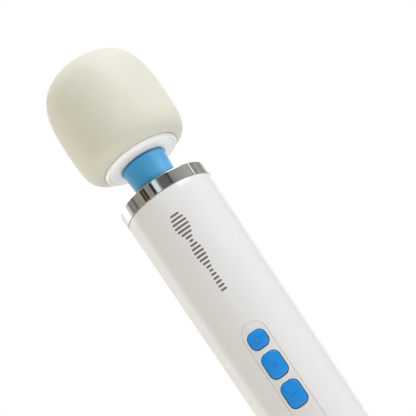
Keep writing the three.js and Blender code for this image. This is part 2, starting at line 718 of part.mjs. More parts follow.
// A rubber ring between the motor and the tapered casing.
function motorMount(z0) {
  const z1 = z0 + MOTOR_MOUNT_HEIGHT;
  return revolveRing([
    [MOTOR_RADIUS + FIT, z0], [innerRadius(z0) - FIT, z0],
    [innerRadius(z1) - FIT, z1], [MOTOR_RADIUS + FIT, z1],
  ]);
}

const slotAngles = [0, 2 * Math.PI / 3, 4 * Math.PI / 3];

// Bars that fill the rotor's three slots, less the margin on each side.
const slotBars = (z0, z1, margin) =>
  slotAngles.map((angle) => {
    const half = ROTOR_SLOT_WIDTH / 2 - margin;
    return box(ROTOR_SLOT_FLOOR + margin, rotorRadius - margin, -half, half, z0, z1).rotateZ(angle);
  });

function rotorCore() {
  const z1 = rotorZ + ROTOR_LENGTH;
  const core = tube(MOTOR_SHAFT_RADIUS + SHAFT_FIT, rotorRadius, rotorZ, z1, INNER_ROUND);
  const half = ROTOR_SLOT_WIDTH / 2;
  const slot = (angle) =>
    box(ROTOR_SLOT_FLOOR, rotorRadius + OVERCUT, -half, half, rotorZ - OVERCUT, z1 + OVERCUT)
      .rotateZ(angle);
  return cut(core, ...slotAngles.map(slot));
}

function rotorWinding() {
  const z1 = rotorZ + ROTOR_LENGTH;
  const inner = COMMUTATOR_RADIUS;
  const outer = rotorRadius - SLIP;
  return join(
    tube(inner, outer, rotorZ - WINDING_END_HEIGHT, rotorZ - FIT, INNER_ROUND),
    tube(inner, outer, z1 + FIT, z1 + WINDING_END_HEIGHT, INNER_ROUND),
    ...slotBars(rotorZ - OVERCUT, z1 + OVERCUT, FIT),
  );
}

const commutator = () =>
  tube(
    MOTOR_SHAFT_RADIUS + SHAFT_FIT, COMMUTATOR_RADIUS,
    commutatorZ, commutatorZ + COMMUTATOR_LENGTH, INNER_ROUND,
  );

const motorShaft = () =>
  rod(
    MOTOR_SHAFT_RADIUS, motorBottomZ - MOTOR_BELL_THICKNESS + SHAFT_END_RECESS,
    shaftMeetingZ - FIT, INNER_ROUND,
  );

const shaftCoupling = () =>
  tube(MOTOR_SHAFT_RADIUS + SHAFT_FIT, COUPLING_RADIUS, couplingZ, couplingTopZ, INNER_ROUND);

const flexShaft = () => rod(FLEX_SHAFT_RADIUS, shaftMeetingZ + FIT, flexShaftTopZ, INNER_ROUND);

// ---------------------------------------------------------------- neck

// The boot's outer radius swells a little from the ring to the head.
function neckBoot() {
  const top = headBaseZ - FIT;
  const foot = bootFootZ + BOOT_FOOT_THICKNESS;
  const middle = (NECK_BOTTOM_RADIUS + NECK_TOP_RADIUS) / 2 + NECK_SWELL;
  return revolveRing([
    [NECK_BOTTOM_RADIUS - NECK_WALL, bootFootZ],
    [NECK_BOTTOM_RADIUS + BOOT_FOOT_FLANGE, bootFootZ],
    [NECK_BOTTOM_RADIUS + BOOT_FOOT_FLANGE, foot],
    [NECK_BOTTOM_RADIUS, foot],
    [NECK_BOTTOM_RADIUS, ringTopZ],
    [middle, (ringTopZ + top) / 2],
    [NECK_TOP_RADIUS, top - NECK_LIP_HEIGHT],
    [NECK_TOP_RADIUS + NECK_LIP, top - NECK_LIP_HEIGHT / 2],
    [NECK_TOP_RADIUS + NECK_LIP, top],
    [NECK_TOP_RADIUS - NECK_WALL, top],
    [NECK_TOP_RADIUS - NECK_WALL, headBaseZ - NECK_STUB_LENGTH],
    [NECK_BOTTOM_RADIUS - NECK_WALL, ringTopZ],
  ]);
}

// The coil inside the boot, from the clamp plate to the head's underside.
function neckSpring() {
  const wireRadius = NECK_SPRING_WIRE / 2;
  const tightest = Math.min(neckStubRadius - NECK_STUB_WALL, NECK_BOTTOM_RADIUS - NECK_WALL);
  const coilRadius = tightest - SLIP - wireRadius;
  const z0 = clampTopZ + wireRadius + SLIP;
  const z1 = headBaseZ - wireRadius - SLIP;
  class Helix extends THREE.Curve {
    getPoint(t, target = new THREE.Vector3()) {
      const angle = t * NECK_SPRING_TURNS * 2 * Math.PI;
      return target.set(coilRadius * Math.cos(angle), coilRadius * Math.sin(angle), z0 + (z1 - z0) * t);
    }
  }
  return wire(new Helix(), wireRadius, NECK_SPRING_TURNS * COIL_STEPS_PER_TURN);
}

// ---------------------------------------------------------------- head

// The head's outer outline: the rounded lower edge, then the side and the domed top.
function headOutline() {
  const path = new THREE.Path();
  path.moveTo(HEAD_BASE_RADIUS, headSplitZ);
  path.bezierCurveTo(
    HEAD_RADIUS - HEAD_SIDE_DRAFT, headSplitZ + HEAD_EDGE_PULL,
    HEAD_RADIUS - HEAD_SIDE_DRAFT, headSplitZ + HEAD_BELLY_HEIGHT - HEAD_SIDE_PULL,
    HEAD_RADIUS, headSplitZ + HEAD_BELLY_HEIGHT,
  );
  const topZ = headSplitZ + HEAD_CAP_HEIGHT;
  path.bezierCurveTo(
    HEAD_RADIUS, topZ - HEAD_TOP_PULL,
    HEAD_RADIUS, topZ,
    0, topZ,
  );
  return path.getPoints(OUTLINE_STEPS).map((point) => [point.x, point.y]);
}

// An outline moved inwards, at right angles to itself, that still ends on the axis.
function inset(outline, distance) {
  return outline.map(([r, z], i) => {
    const [r0, z0] = outline[Math.max(i - 1, 0)];
    const [r1, z1] = outline[Math.min(i + 1, outline.length - 1)];
    const length = Math.hypot(r1 - r0, z1 - z0);
    const moved = [r - (distance * (z1 - z0)) / length, z + (distance * (r1 - r0)) / length];
    return i === outline.length - 1 ? [0, z - distance] : moved;
  });
}

// A cup between two insets of the head's outline, open at the bottom. It keeps one
// outline point in every `stride`.
function headCup(outerInset, wall, stride) {
  const keep = (outline) => outline.filter((_, i) => i % stride === 0);
  const outer = keep(inset(headOutline(), outerInset));
  const inner = keep(inset(headOutline(), outerInset + wall));
  return revolve([...inner.reverse(), ...outer]);
}

const headCap = () => headCup(0, HEAD_CAP_WALL, 1);
const headShell = () => headCup(HEAD_CAP_WALL + SLIP, HEAD_SHELL_WALL, 2);

const headScrewAngles = Array.from(
  { length: HEAD_SCREW_COUNT },
  (_, i) => -Math.PI / 2 + (i * 2 * Math.PI) / HEAD_SCREW_COUNT,
);

const onHeadScrewCircle = (geometry, angle) =>
  geometry.translate(HEAD_SCREW_CIRCLE * Math.cos(angle), HEAD_SCREW_CIRCLE * Math.sin(angle), 0);

const coverPegAngles = headScrewAngles.map((angle) => angle + Math.PI / HEAD_SCREW_COUNT);

const coverInnerRadius = NECK_TOP_RADIUS - COVER_UNDER_BOOT;
const coverTopZ = headBaseZ + COVER_THICKNESS;
const headScrewSeatZ = coverTopZ + HEAD_SCREW_RECESS;
const headScrewTopZ = headPlateTopZ + HEAD_SCREW_REACH;

// The head's base: a plate recessed for its cover, a stub in the boot, and a bearing seat.
function headBase() {
  const bore = HEAD_SHAFT_RADIUS + HEAD_SHAFT_BORE_GAP;
  const lipInner = HEAD_BASE_FLAT_RADIUS - FIT;
  const plate = revolveRing([
    [neckStubRadius - NECK_STUB_WALL, headBaseZ - NECK_STUB_LENGTH],
    [neckStubRadius, headBaseZ - NECK_STUB_LENGTH],
    [neckStubRadius, headBaseZ],
    [coverInnerRadius - FIT, headBaseZ],
    [coverInnerRadius - FIT, coverTopZ + SHAFT_FIT],
    [HEAD_BASE_FLAT_RADIUS, coverTopZ + SHAFT_FIT],
    [HEAD_BASE_FLAT_RADIUS, headBaseZ],
    [HEAD_BASE_RADIUS - HEAD_BASE_EDGE_INSET, headBaseZ + HEAD_BASE_EDGE],
    [HEAD_BASE_RADIUS, headSplitZ - SHAFT_FIT],
    [lipInner, headSplitZ - SHAFT_FIT],
    [lipInner, headPlateTopZ],
    [bearingSeatRadius + BEARING_SEAT_WALL, headPlateTopZ],
    [bearingSeatRadius + BEARING_SEAT_WALL, hubTopZ],
    [bearingSeatRadius, hubTopZ],
    [bearingSeatRadius, lowerBearingZ - SHAFT_FIT],
    [bore, lowerBearingZ - SHAFT_FIT],
    [bore, headBaseZ],
    [neckStubRadius - NECK_STUB_WALL, headBaseZ],
  ]);
  const holes = headScrewAngles.flatMap((angle) => [
    onHeadScrewCircle(
      rod(SCREW_SHANK_RADIUS + SLIP, headBaseZ - OVERCUT, headPlateTopZ + OVERCUT), angle,
    ),
    onHeadScrewCircle(rod(HEAD_SCREW_HEAD_RADIUS + SLIP, headBaseZ - OVERCUT, headScrewSeatZ), angle),
  ]);
  const pegHoles = coverPegAngles.map((angle) =>
    onHeadScrewCircle(rod(COVER_PEG_RADIUS + FIT, headBaseZ, coverTopZ + COVER_PEG_LENGTH + FIT), angle));
  return cut(plate, ...holes, ...pegHoles);
}

// The glossy ring that hides the head's screws. Three pegs hold it in the head's base.
function headBaseCover() {
  const outer = HEAD_BASE_FLAT_RADIUS - FIT;
  const ring = revolveRing([
    [coverInnerRadius, headBaseZ], [outer - COVER_BEVEL, headBaseZ],
    [outer, headBaseZ + COVER_BEVEL], [outer, coverTopZ], [coverInnerRadius, coverTopZ],
  ]);
  const pegs = coverPegAngles.map((angle) =>
    onHeadScrewCircle(rod(COVER_PEG_RADIUS, headBaseZ + COVER_BEVEL, coverTopZ + COVER_PEG_LENGTH), angle));
  return join(ring, ...pegs);
}

function headScrew(angle) {
  const head = HEAD_SCREW_HEAD_RADIUS;
  const seat = headScrewSeatZ - SHAFT_FIT;
  const face = seat - HEAD_SCREW_HEAD_HEIGHT;
  return onHeadScrewCircle(revolve([
    [0, face], [head * SCREW_CROWN_SHARE, face], [head, seat - HEAD_SCREW_RIM_HEIGHT], [head, seat],
    [SCREW_SHANK_RADIUS, seat], [SCREW_SHANK_RADIUS, headScrewTopZ], [0, headScrewTopZ],
  ], SMALL_ROUND), angle);
}

// The cup round the weight: screwed to the head's base, with the upper bearing in its top.
function weightHousing() {
  const outer = weightHousingRadius;
  const inner = outer - WEIGHT_HOUSING_WALL;
  const boss = bearingSeatRadius + BEARING_SEAT_WALL;
  const ceiling = weightHousingTopZ - HOUSING_TOP_WALL;
  const foot = headPlateTopZ + SHAFT_FIT;
  const roofZ = upperBearingZ - BEARING_ABOVE_PLATE;
  const roofTopZ = roofZ + HOUSING_TOP_WALL;
  const cup = revolve([
    [0, ceiling], [bearingSeatRadius, ceiling], [bearingSeatRadius, roofZ], [inner, roofZ],
    [inner, foot], [outer, foot], [outer, roofTopZ], [boss, roofTopZ],
    [boss, weightHousingTopZ], [0, weightHousingTopZ],
  ]);
  const posts = headScrewAngles.map((angle) =>
    onHeadScrewCircle(rod(HEAD_SCREW_POST_RADIUS, foot, headScrewTopZ + HEAD_SCREW_POST_RISE), angle));
  const pilots = headScrewAngles.map((angle) =>
    onHeadScrewCircle(
      rod(SCREW_SHANK_RADIUS + SHAFT_FIT, headPlateTopZ - OVERCUT, headScrewTopZ + HEAD_SCREW_TIP_GAP),
      angle,
    ));
  return cut(join(cup, ...posts), ...pilots);
}

const bearing = (z) =>
  tube(turningBore(HEAD_SHAFT_RADIUS), BEARING_RADIUS, z, z + BEARING_HEIGHT, INNER_ROUND);

// The head's shaft, with a socket below for the flexible shaft and a shoulder on the bearing.
function headShaft() {
  const socket = FLEX_SHAFT_RADIUS + SLIP;
  const socketTopZ = flexShaftTopZ + SLIP;
  const shoulderZ = lowerBearingZ + BEARING_HEIGHT + FIT;
  const shoulder = HEAD_SHAFT_RADIUS + SHAFT_SHOULDER;
  const top = upperBearingZ + BEARING_HEIGHT;
  return revolve([
    [0, socketTopZ], [socket, socketTopZ], [socket, headShaftZ],
    [HEAD_SHAFT_RADIUS, headShaftZ], [HEAD_SHAFT_RADIUS, shoulderZ],
    [shoulder, shoulderZ], [shoulder, shoulderZ + SHAFT_SHOULDER_HEIGHT],
    [HEAD_SHAFT_RADIUS, shoulderZ + SHAFT_SHOULDER_HEIGHT], [HEAD_SHAFT_RADIUS, top], [0, top],
  ], INNER_ROUND);
}

// A half disc with a hub round the head's shaft. The heavy half is towards +Y.
function eccentricWeight() {
  const z1 = weightZ + WEIGHT_HEIGHT;
  const half = common(
    rod(WEIGHT_RADIUS, weightZ, z1, INNER_ROUND),
    box(-REACH, REACH, 0, REACH, weightZ - OVERCUT, z1 + OVERCUT),
  );
  const hub = rod(WEIGHT_HUB_RADIUS, weightZ, z1, INNER_ROUND);
  const bore = rod(HEAD_SHAFT_RADIUS + SHAFT_FIT, weightZ - OVERCUT, z1 + OVERCUT, INNER_ROUND);
  return cut(join(half, hub), bore);
}

// ---------------------------------------------------------------- leads

const lead = (points, steps) =>
  wire(new THREE.CatmullRomCurve3(points.map((p) => new THREE.Vector3(...p))), LEAD_RADIUS, steps);

// From the inlet up to the board's lower edge, past the two centre screws' posts.
function supplyLead(side) {
  const jackTopZ = INLET_WELL_DEPTH + END_CAP_WALL + JACK_BODY_HEIGHT;
  const boardY = (boardFrontY + boardBackY) / 2;
  return lead([
    [side * LEAD_INLET_X, 0, jackTopZ + LEAD_END_GAP],
    [side * LEAD_POST_X, LEAD_BOW / 2, centreScrewZ[0]],
    [side * LEAD_WIDEST_X, LEAD_BOW, (centreScrewZ[0] + centreScrewZ[1]) / 2],
    [side * (LEAD_POST_X + LEAD_RADIUS), 0, centreScrewZ[1]],
    [side * LEAD_BOARD_X, boardY, boardBottomZ - LEAD_END_GAP],
  ], SUPPLY_LEAD_STEPS);
}

// From the board's upper edge to the motor's end bell.
function motorLead(side) {
  const bellZ = motorBottomZ - MOTOR_BELL_THICKNESS;
  const boardY = (boardFrontY + boardBackY) / 2;
  return lead([
    [side * LEAD_BOARD_X, boardY, boardTopZ + LEAD_END_GAP],
    [side * LEAD_WIDEST_X, (boardY + LEAD_MOTOR_Y) / 2, (boardTopZ + bellZ) / 2],
    [side * LEAD_MOTOR_X, LEAD_MOTOR_Y, bellZ - LEAD_END_GAP],
  ], MOTOR_LEAD_STEPS);
}

// ---------------------------------------------------------------- assembly

const massager = new THREE.Group();

function addPart(name, geometry, material) {
  const mesh = new THREE.Mesh(geometry, MATERIALS[material]());
  mesh.name = name;
  massager.add(mesh);
}

function addCasing() {
  addPart('front_housing', frontHousing(), 'shell');
  addPart('rear_housing', rearHousing(), 'shell');
  addPart('end_cap', endCap(), 'shell');
  addPart('top_cap', topCap(), 'shell');
  addPart('chrome_ring', chromeRing(), 'chrome');
  addPart('neck_clamp', neckClamp(), 'dark');
  HOUSING_SCREWS.forEach((place, i) => addPart(`housing_screw_${i + 1}`, housingScrew(place), 'steel'));
}

function addControls() {
  addPart('control_panel', controlPanel(), 'panel');
  for (const button of BUTTONS) {
    addPart(`button_${button.name}`, buttonCap(button), 'button');
    addPart(`plunger_${button.name}`, switchPlunger(button), 'dark');
    addPart(`switch_${button.name}`, tactSwitch(button), 'dark');
  }
  addPart('circuit_board', circuitBoard(), 'board');
  boardScrewZ.forEach((z, i) => addPart(`board_screw_${i + 1}`, boardScrew(z), 'steel'));
  addPart('control_chip', controlChip(), 'dark');
  addPart('smoothing_capacitor', smoothingCapacitor(), 'dark');
  addPart('dc_jack', dcJack(), 'dark');
}

function addLeads() {
  addPart('supply_lead_red', supplyLead(1), 'red');
  addPart('supply_lead_black', supplyLead(-1), 'dark');
  addPart('motor_lead_red', motorLead(1), 'red');
  addPart('motor_lead_black', motorLead(-1), 'dark');
}

function addMotor() {
  addPart('motor_can', motorCan(), 'steel');
  addPart('motor_end_bell', motorEndBell(), 'dark');
  addPart('motor_bushing_front', bushing(motorTopZ - MOTOR_CAN_WALL, motorBossTopZ), 'brass');
  addPart('motor_bushing_rear', bushing(motorBottomZ - MOTOR_BELL_THICKNESS, motorBottomZ), 'brass');
  addPart('motor_magnet_left', magnet(Math.PI), 'magnet');
  addPart('motor_magnet_right', magnet(0), 'magnet');
  addPart('motor_brush_left', motorBrush(-1), 'magnet');
  addPart('motor_brush_right', motorBrush(1), 'magnet');
  addPart('motor_mount_lower', motorMount(motorBottomZ + MOTOR_MOUNT_MARGIN), 'dark');
  addPart('motor_mount_upper', motorMount(motorTopZ - MOTOR_MOUNT_MARGIN - MOTOR_MOUNT_HEIGHT), 'dark');
}

function addDrive() {
  addPart('motor_shaft', motorShaft(), 'steel');
  addPart('rotor_core', rotorCore(), 'steel');
  addPart('rotor_winding', rotorWinding(), 'copper');
  addPart('commutator', commutator(), 'copper');
  addPart('shaft_coupling', shaftCoupling(), 'steel');
  addPart('flex_shaft', flexShaft(), 'steel');
}

function addNeckAndHead() {
  addPart('neck_boot', neckBoot(), 'blue');
  addPart('neck_spring', neckSpring(), 'steel');
  addPart('head_base', headBase(), 'shell');
  addPart('head_base_cover', headBaseCover(), 'shell');
  addPart('weight_housing', weightHousing(), 'dark');
  addPart('head_shell', headShell(), 'shell');
  addPart('head_cap', headCap(), 'silicone');
  addPart('head_bearing_lower', bearing(lowerBearingZ), 'steel');
  addPart('head_bearing_upper', bearing(upperBearingZ), 'steel');
  headScrewAngles.forEach((angle, i) => addPart(`head_screw_${i + 1}`, headScrew(angle), 'steel'));
  addPart('head_shaft', headShaft(), 'steel');
  addPart('eccentric_weight', eccentricWeight(), 'steel');
}

addCasing();
addControls();
addLeads();
addMotor();
addDrive();
addNeckAndHead();

export default massager;
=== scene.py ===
"""Looks of the handheld wand massager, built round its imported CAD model.

Lengths are in metres in the CAD frame: the wand stands on its base with +Z up, and its
control panel faces -Y. Sizes and places come from the CAD nodes' boxes and from the few
named values below.
"""
import json
import math

import bmesh
import bpy
from mathutils import Matrix, Quaternion, Vector

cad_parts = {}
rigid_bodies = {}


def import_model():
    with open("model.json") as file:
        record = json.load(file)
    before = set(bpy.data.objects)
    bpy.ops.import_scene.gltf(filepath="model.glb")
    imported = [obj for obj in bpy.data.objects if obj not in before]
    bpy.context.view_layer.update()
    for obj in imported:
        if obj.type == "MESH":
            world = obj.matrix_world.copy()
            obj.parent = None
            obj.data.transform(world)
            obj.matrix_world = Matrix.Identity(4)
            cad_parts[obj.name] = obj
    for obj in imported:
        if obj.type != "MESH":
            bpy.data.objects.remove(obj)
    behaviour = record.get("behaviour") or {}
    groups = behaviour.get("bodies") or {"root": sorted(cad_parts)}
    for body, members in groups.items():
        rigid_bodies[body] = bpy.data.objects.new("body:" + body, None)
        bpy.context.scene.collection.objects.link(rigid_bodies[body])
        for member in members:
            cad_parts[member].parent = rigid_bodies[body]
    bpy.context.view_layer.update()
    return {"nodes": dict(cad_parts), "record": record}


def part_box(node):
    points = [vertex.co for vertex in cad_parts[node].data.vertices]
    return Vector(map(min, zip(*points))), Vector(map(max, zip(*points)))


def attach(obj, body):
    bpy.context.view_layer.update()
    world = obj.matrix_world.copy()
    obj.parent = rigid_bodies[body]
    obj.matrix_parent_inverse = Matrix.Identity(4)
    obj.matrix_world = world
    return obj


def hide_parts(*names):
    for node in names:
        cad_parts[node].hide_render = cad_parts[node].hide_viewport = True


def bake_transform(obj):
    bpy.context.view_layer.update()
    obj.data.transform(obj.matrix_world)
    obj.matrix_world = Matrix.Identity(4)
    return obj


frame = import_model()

MM = 0.001


# ---------------- sizes from the frame

def low(node):
    """The lowest corner of a CAD node's box."""
    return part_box(node)[0]


def high(node):
    """The highest corner of a CAD node's box."""
    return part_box(node)[1]


def centre_of(node):
    """The centre of a CAD node's box."""
    return (low(node) + high(node)) / 2


def half_width(node):
    """Half of a CAD node's size along X: the radius of one that is round about Y or Z."""
    return (high(node).x - low(node).x) / 2


def nodes_named(prefix):
    """The CAD nodes whose names start alike, in the frame's order."""
    return [name for name in frame["nodes"] if name.startswith(prefix)]


BASE_Z = low("end_cap").z
CAP_SEAM_Z = low("front_housing").z
HANDLE_TOP_Z = high("front_housing").z
RING_TOP_Z = high("chrome_ring").z
HEAD_SPLIT_Z = low("head_cap").z
HEAD_TOP_Z = high("head_cap").z
TOP_RADIUS = high("front_housing").x
SEAM_RADIUS = high("end_cap").x
RING_RADIUS = high("chrome_ring").x
HEAD_RADIUS = high("head_cap").x
HEAD_BASE_RADIUS = high("head_base").x
BOOT_TOP_Z = high("neck_boot").z
HEAD_BASE_Z = BOOT_TOP_Z + 0.1 * MM

HOUSING_WALL = 2.4 * MM
HEAD_CAP_WALL = 3 * MM
BASE_ROUND = 4 * MM
PART_GAP = 0.12 * MM
SHAFT_GAP = 0.15 * MM
PANEL_GAP = 0.05 * MM
PANEL_EDGE = 0.35 * MM
BUTTON_GAP = 0.3 * MM
BUTTON_FLANGE = 1.3 * MM
PANEL_THICKNESS = 1.5 * MM

NECK_BOTTOM_RADIUS = 11.3 * MM
NECK_TOP_RADIUS = 12.4 * MM
NECK_WALL = 1.8 * MM
NECK_FOOT_Z = low("neck_boot").z
NECK_MIDDLE_Z = (RING_TOP_Z + HEAD_BASE_Z) / 2

# Segments round a full turn.
ROUND = 160
RING_ROUND = 256
INLET_ROUND = 64
SMALL_ROUND = 40


def handle_radius(z):
    """The casing's outer radius at a height: a straight taper."""
    share = (z - CAP_SEAM_Z) / (HANDLE_TOP_Z - CAP_SEAM_Z)
    return SEAM_RADIUS + (TOP_RADIUS - SEAM_RADIUS) * share


# ---------------- mesh helpers

SHARP_ANGLE = 35
CONE_SLACK = 9


def rounded(corners, steps=6):
    """An outline of (radius, z) points from corners (radius, z, rounding)."""
    outline = []
    for i, (r, z, rounding) in enumerate(corners):
        corner = Vector((r, z))
        if rounding == 0:
            outline.append(corner)
            continue
        before = (Vector(corners[i - 1][:2]) - corner).normalized()
        after = (Vector(corners[(i + 1) % len(corners)][:2]) - corner).normalized()
        half = before.angle(after) / 2
        centre = corner + (before + after).normalized() * (rounding / math.sin(half))
        start = corner + before * (rounding / math.tan(half)) - centre
        end = corner + after * (rounding / math.tan(half)) - centre
        sweep = start.angle_signed(end)
        for step in range(steps + 1):
            turned = start.copy()
            turned.rotate(Matrix.Rotation(-sweep * step / steps, 2))
            outline.append(centre + turned)
    return [(p.x, p.y) for p in outline]


def bezier(p0, p1, p2, p3, steps):
    """Points on a cubic curve, its ends included."""
    points = []
    for step in range(steps + 1):
        t = step / steps
        weights = ((1 - t) ** 3, 3 * t * (1 - t) ** 2, 3 * t * t * (1 - t), t ** 3)
        points.append(tuple(
            sum(w * p[axis] for w, p in zip(weights, (p0, p1, p2, p3))) for axis in (0, 1)
        ))
    return points


def bridge(bm, lower, upper):
    """Quads between two loops of vertices, either of which may be a single point."""
    count = max(len(lower), len(upper))
    for k in range(count):
        n = (k + 1) % count
        corners = [
            lower[k % len(lower)], lower[n % len(lower)],
            upper[n % len(upper)], upper[k % len(upper)],
        ]
        distinct = list(dict.fromkeys(corners))
        if len(distinct) > 2:
            bm.faces.new(distinct)


def close_body(bm, loops):
    """Joins loops of vertices each to the next, and fills the first and the last."""
    for first, second in zip(loops, loops[1:]):
        bridge(bm, first, second)
    bm.faces.new(loops[0])
    bm.faces.new(loops[-1])


def to_piece(bm, name):
    """A new object from a bmesh, smooth but for its sharp edges."""
    bmesh.ops.recalc_face_normals(bm, faces=bm.faces)
    mesh = bpy.data.meshes.new(name)
    bm.to_mesh(mesh)
    bm.free()
    piece = bpy.data.objects.new(name, mesh)
    bpy.context.scene.collection.objects.link(piece)
    shade(piece)
    return piece


def shade(piece):
    """Smooth shading, with sharp edges where faces turn by more than SHARP_ANGLE."""
    piece.data.shade_smooth()
    piece.data.set_sharp_from_angle(angle=math.radians(SHARP_ANGLE))


def weigh_normals(piece):
    """Keeps flat faces flat next to their rounded edges."""
    modifier = piece.modifiers.new("normals", "WEIGHTED_NORMAL")
    modifier.keep_sharp = True
    modifier.weight = 80


def true_normals(piece):
    """Shades what follows the casing's cone to within CONE_SLACK degrees as the cone itself."""
    mesh = piece.data
    slope = (SEAM_RADIUS - TOP_RADIUS) / (HANDLE_TOP_Z - CAP_SEAM_Z)
    normals = []
    for corner, loop in zip(mesh.corner_normals, mesh.loops):
        place = mesh.vertices[loop.vertex_index].co
        cone = Vector((place.x, place.y, 0)).normalized() + Vector((0, 0, slope))
        cone.normalize()
        own = corner.vector.copy()
        normals.append(cone if own.angle(cone, math.pi) < math.radians(CONE_SLACK) else own)
    mesh.normals_split_custom_set(normals)


def revolve(name, outline, segments=ROUND, closed=True):
    """A solid of revolution about Z. An outline that isn't closed ends on the axis."""
    bm = bmesh.new()
    loops = []
    for r, z in outline:
        if r < 1e-7:
            loops.append([bm.verts.new((0, 0, z))])
            continue
        angles = [2 * math.pi * k / segments for k in range(segments)]
        loops.append([bm.verts.new((r * math.sin(a), -r * math.cos(a), z)) for a in angles])
    for lower, upper in zip(loops, loops[1:]):
        bridge(bm, lower, upper)
    if closed:
        bridge(bm, loops[-1], loops[0])
    return to_piece(bm, name)


def turning(name, outline):
    """A small solid of revolution whose outline starts and ends on the axis."""
    return revolve(name, outline, SMALL_ROUND, closed=False)


def rod(name, radius, start, end):
    """A small cylinder about Z, for cutting or joining."""
    return turning(name, [(0, start), (radius, start), (radius, end), (0, end)])


def rounded_rectangle(width, height, corner, centre_z, grow=0.0, corner_steps=8, side_steps=1):
    """Points (x, z) round a rounded rectangle, counted alike for every value of grow."""
    half_w, half_h = width / 2 + grow, height / 2 + grow
    radius = min(max(corner + grow, 1e-5), half_w, half_h)
    centres = (
        (half_w - radius, half_h - radius, 0), (radius - half_w, half_h - radius, 1),
        (radius - half_w, radius - half_h, 2), (half_w - radius, radius - half_h, 3),
    )
    arcs = []
    for x, z, quarter in centres:
        for step in range(corner_steps + 1):
            angle = math.pi / 2 * (quarter + step / corner_steps)
            arcs.append((x + radius * math.cos(angle), z + radius * math.sin(angle)))
    points = []
    for i, point in enumerate(arcs):
        points.append(point)
        if (i + 1) % (corner_steps + 1) == 0:
            follower = arcs[(i + 1) % len(arcs)]
            for step in range(1, side_steps):
                share = step / side_steps
                points.append(tuple(a + (b - a) * share for a, b in zip(point, follower)))
    return [(x, z + centre_z) for x, z in points]


def on_casing(x, z, depth):
    """The point at x and z that lies a depth under the casing's front surface."""
    radius = handle_radius(z) - depth
    return (x, -math.sqrt(max(radius * radius - x * x, 0)), z)


def layered(name, outline, layers, place=on_casing):
    """A solid whose loops follow an outline at (grow, depth) steps, filled at both ends."""
    bm = bmesh.new()
    loops = [
        [bm.verts.new(place(x, z, depth)) for x, z in outline(grow)] for grow, depth in layers
    ]
    close_body(bm, loops)
    return to_piece(bm, name)


def carve(piece, cutters, operation="DIFFERENCE"):
    """Cuts the cutters out of a piece, or joins them to it, and deletes them."""
    for cutter in cutters:
        modifier = piece.modifiers.new("carve", "BOOLEAN")
        modifier.operation = operation
        modifier.solver = "EXACT"
        modifier.object = cutter
    graph = bpy.context.evaluated_depsgraph_get()
    carved = bpy.data.meshes.new_from_object(piece.evaluated_get(graph))
    piece.modifiers.clear()
    piece.data = carved
    for cutter in cutters:
        bpy.data.objects.remove(cutter)
    bpy.context.view_layer.update()
    shade(piece)
    return piece


def turned_to_y(piece, x, z):
    """Turns a solid of revolution so that its axis lies along +Y through x and z."""
    piece.data.transform(Matrix.Translation((x, 0, z)) @ Matrix.Rotation(-math.pi / 2, 4, "X"))
    return piece


def shifted(piece, x, y):
    """Moves a solid of revolution so that its axis stands at x and y."""
    piece.data.transform(Matrix.Translation((x, y, 0)))
    return piece


# ---------------- materials

def add_node(tree, kind, inputs=(), **settings):
    """A new node with its settings, and inputs given as (socket, value or output)."""
    made = tree.nodes.new(kind)
    for setting, value in settings.items():
        setattr(made, setting, value)
    for socket, value in inputs:
        if isinstance(value, bpy.types.NodeSocket):
            tree.links.new(value, made.inputs[socket])
        else:
            made.inputs[socket].default_value = value
    return made


def calculate(tree, operation, first, second):
    """The outcome of an operation on two numbers or outputs."""
    return add_node(
        tree, "ShaderNodeMath", [(0, first), (1, second)], operation=operation,
    ).outputs[0]


def mix_colours(tree, factor, first, second):
    """A colour that goes from first to second with a factor."""
    mix = add_node(tree, "ShaderNodeMix", [("Factor", factor)], data_type="RGBA")
    sockets = [socket for socket in mix.inputs if socket.type == "RGBA"]
    for socket, value in zip(sockets, (first, second)):
        if isinstance(value, bpy.types.NodeSocket):
            tree.links.new(value, socket)
        else:
            socket.default_value = (*value, 1)
    return [output for output in mix.outputs if output.type == "RGBA"][0]


class Surface:
    """A procedural material: a Principled shader fed by noise at the object's own scale."""

    def __init__(self, name, **values):
        self.material = bpy.data.materials.new(name)
        self.material.use_nodes = True
        self.tree = self.material.node_tree
        self.shader = self.tree.nodes["Principled BSDF"]
        for socket, value in values.items():
            self.shader.inputs[socket.replace("_", " ")].default_value = value
        self.coordinates = self.tree.nodes.new("ShaderNodeTexCoord").outputs["Object"]

    def node(self, kind, inputs=(), **settings):
        """A new node in this material."""
        return add_node(self.tree, kind, inputs, **settings)

    def noise(self, size, detail=2.0, stretch=None):
        """Noise with features of a size in metres, stretched along the axes if asked."""
        vector = self.coordinates
        if stretch:
            vector = self.node(
                "ShaderNodeMapping", [("Vector", vector), ("Scale", stretch)]
            ).outputs["Vector"]
        return self.node("ShaderNodeTexNoise", [
            ("Vector", vector), ("Scale", 1 / size), ("Detail", detail), ("Roughness", 0.55),
        ]).outputs["Fac"]

    def mapped(self, value, to_low, to_high, from_low=0.3, from_high=0.7):
        """A value spread from one range to another."""
        return self.node("ShaderNodeMapRange", [
            ("Value", value), ("From Min", from_low), ("From Max", from_high),
            ("To Min", to_low), ("To Max", to_high),
        ]).outputs["Result"]

    def colour(self, factor, first, second):
        """The base colour goes from first to second with a factor."""
        result = mix_colours(self.tree, factor, first, second)
        self.tree.links.new(result, self.shader.inputs["Base Color"])
        return self

    def roughness(self, factor, smoothest, roughest):
        """The roughness varies between two values with a factor."""
        result = self.mapped(factor, smoothest, roughest)
        self.tree.links.new(result, self.shader.inputs["Roughness"])
        return self

    def bump(self, height, depth):
        """Relief of a depth in metres, laid over any that is there."""
        inputs = [("Height", height), ("Distance", depth), ("Strength", 1.0)]
        before = self.shader.inputs["Normal"].links
        if before:
            inputs.append(("Normal", before[0].from_socket))
        made = self.node("ShaderNodeBump", inputs)
        self.tree.links.new(made.outputs["Normal"], self.shader.inputs["Normal"])
        return self


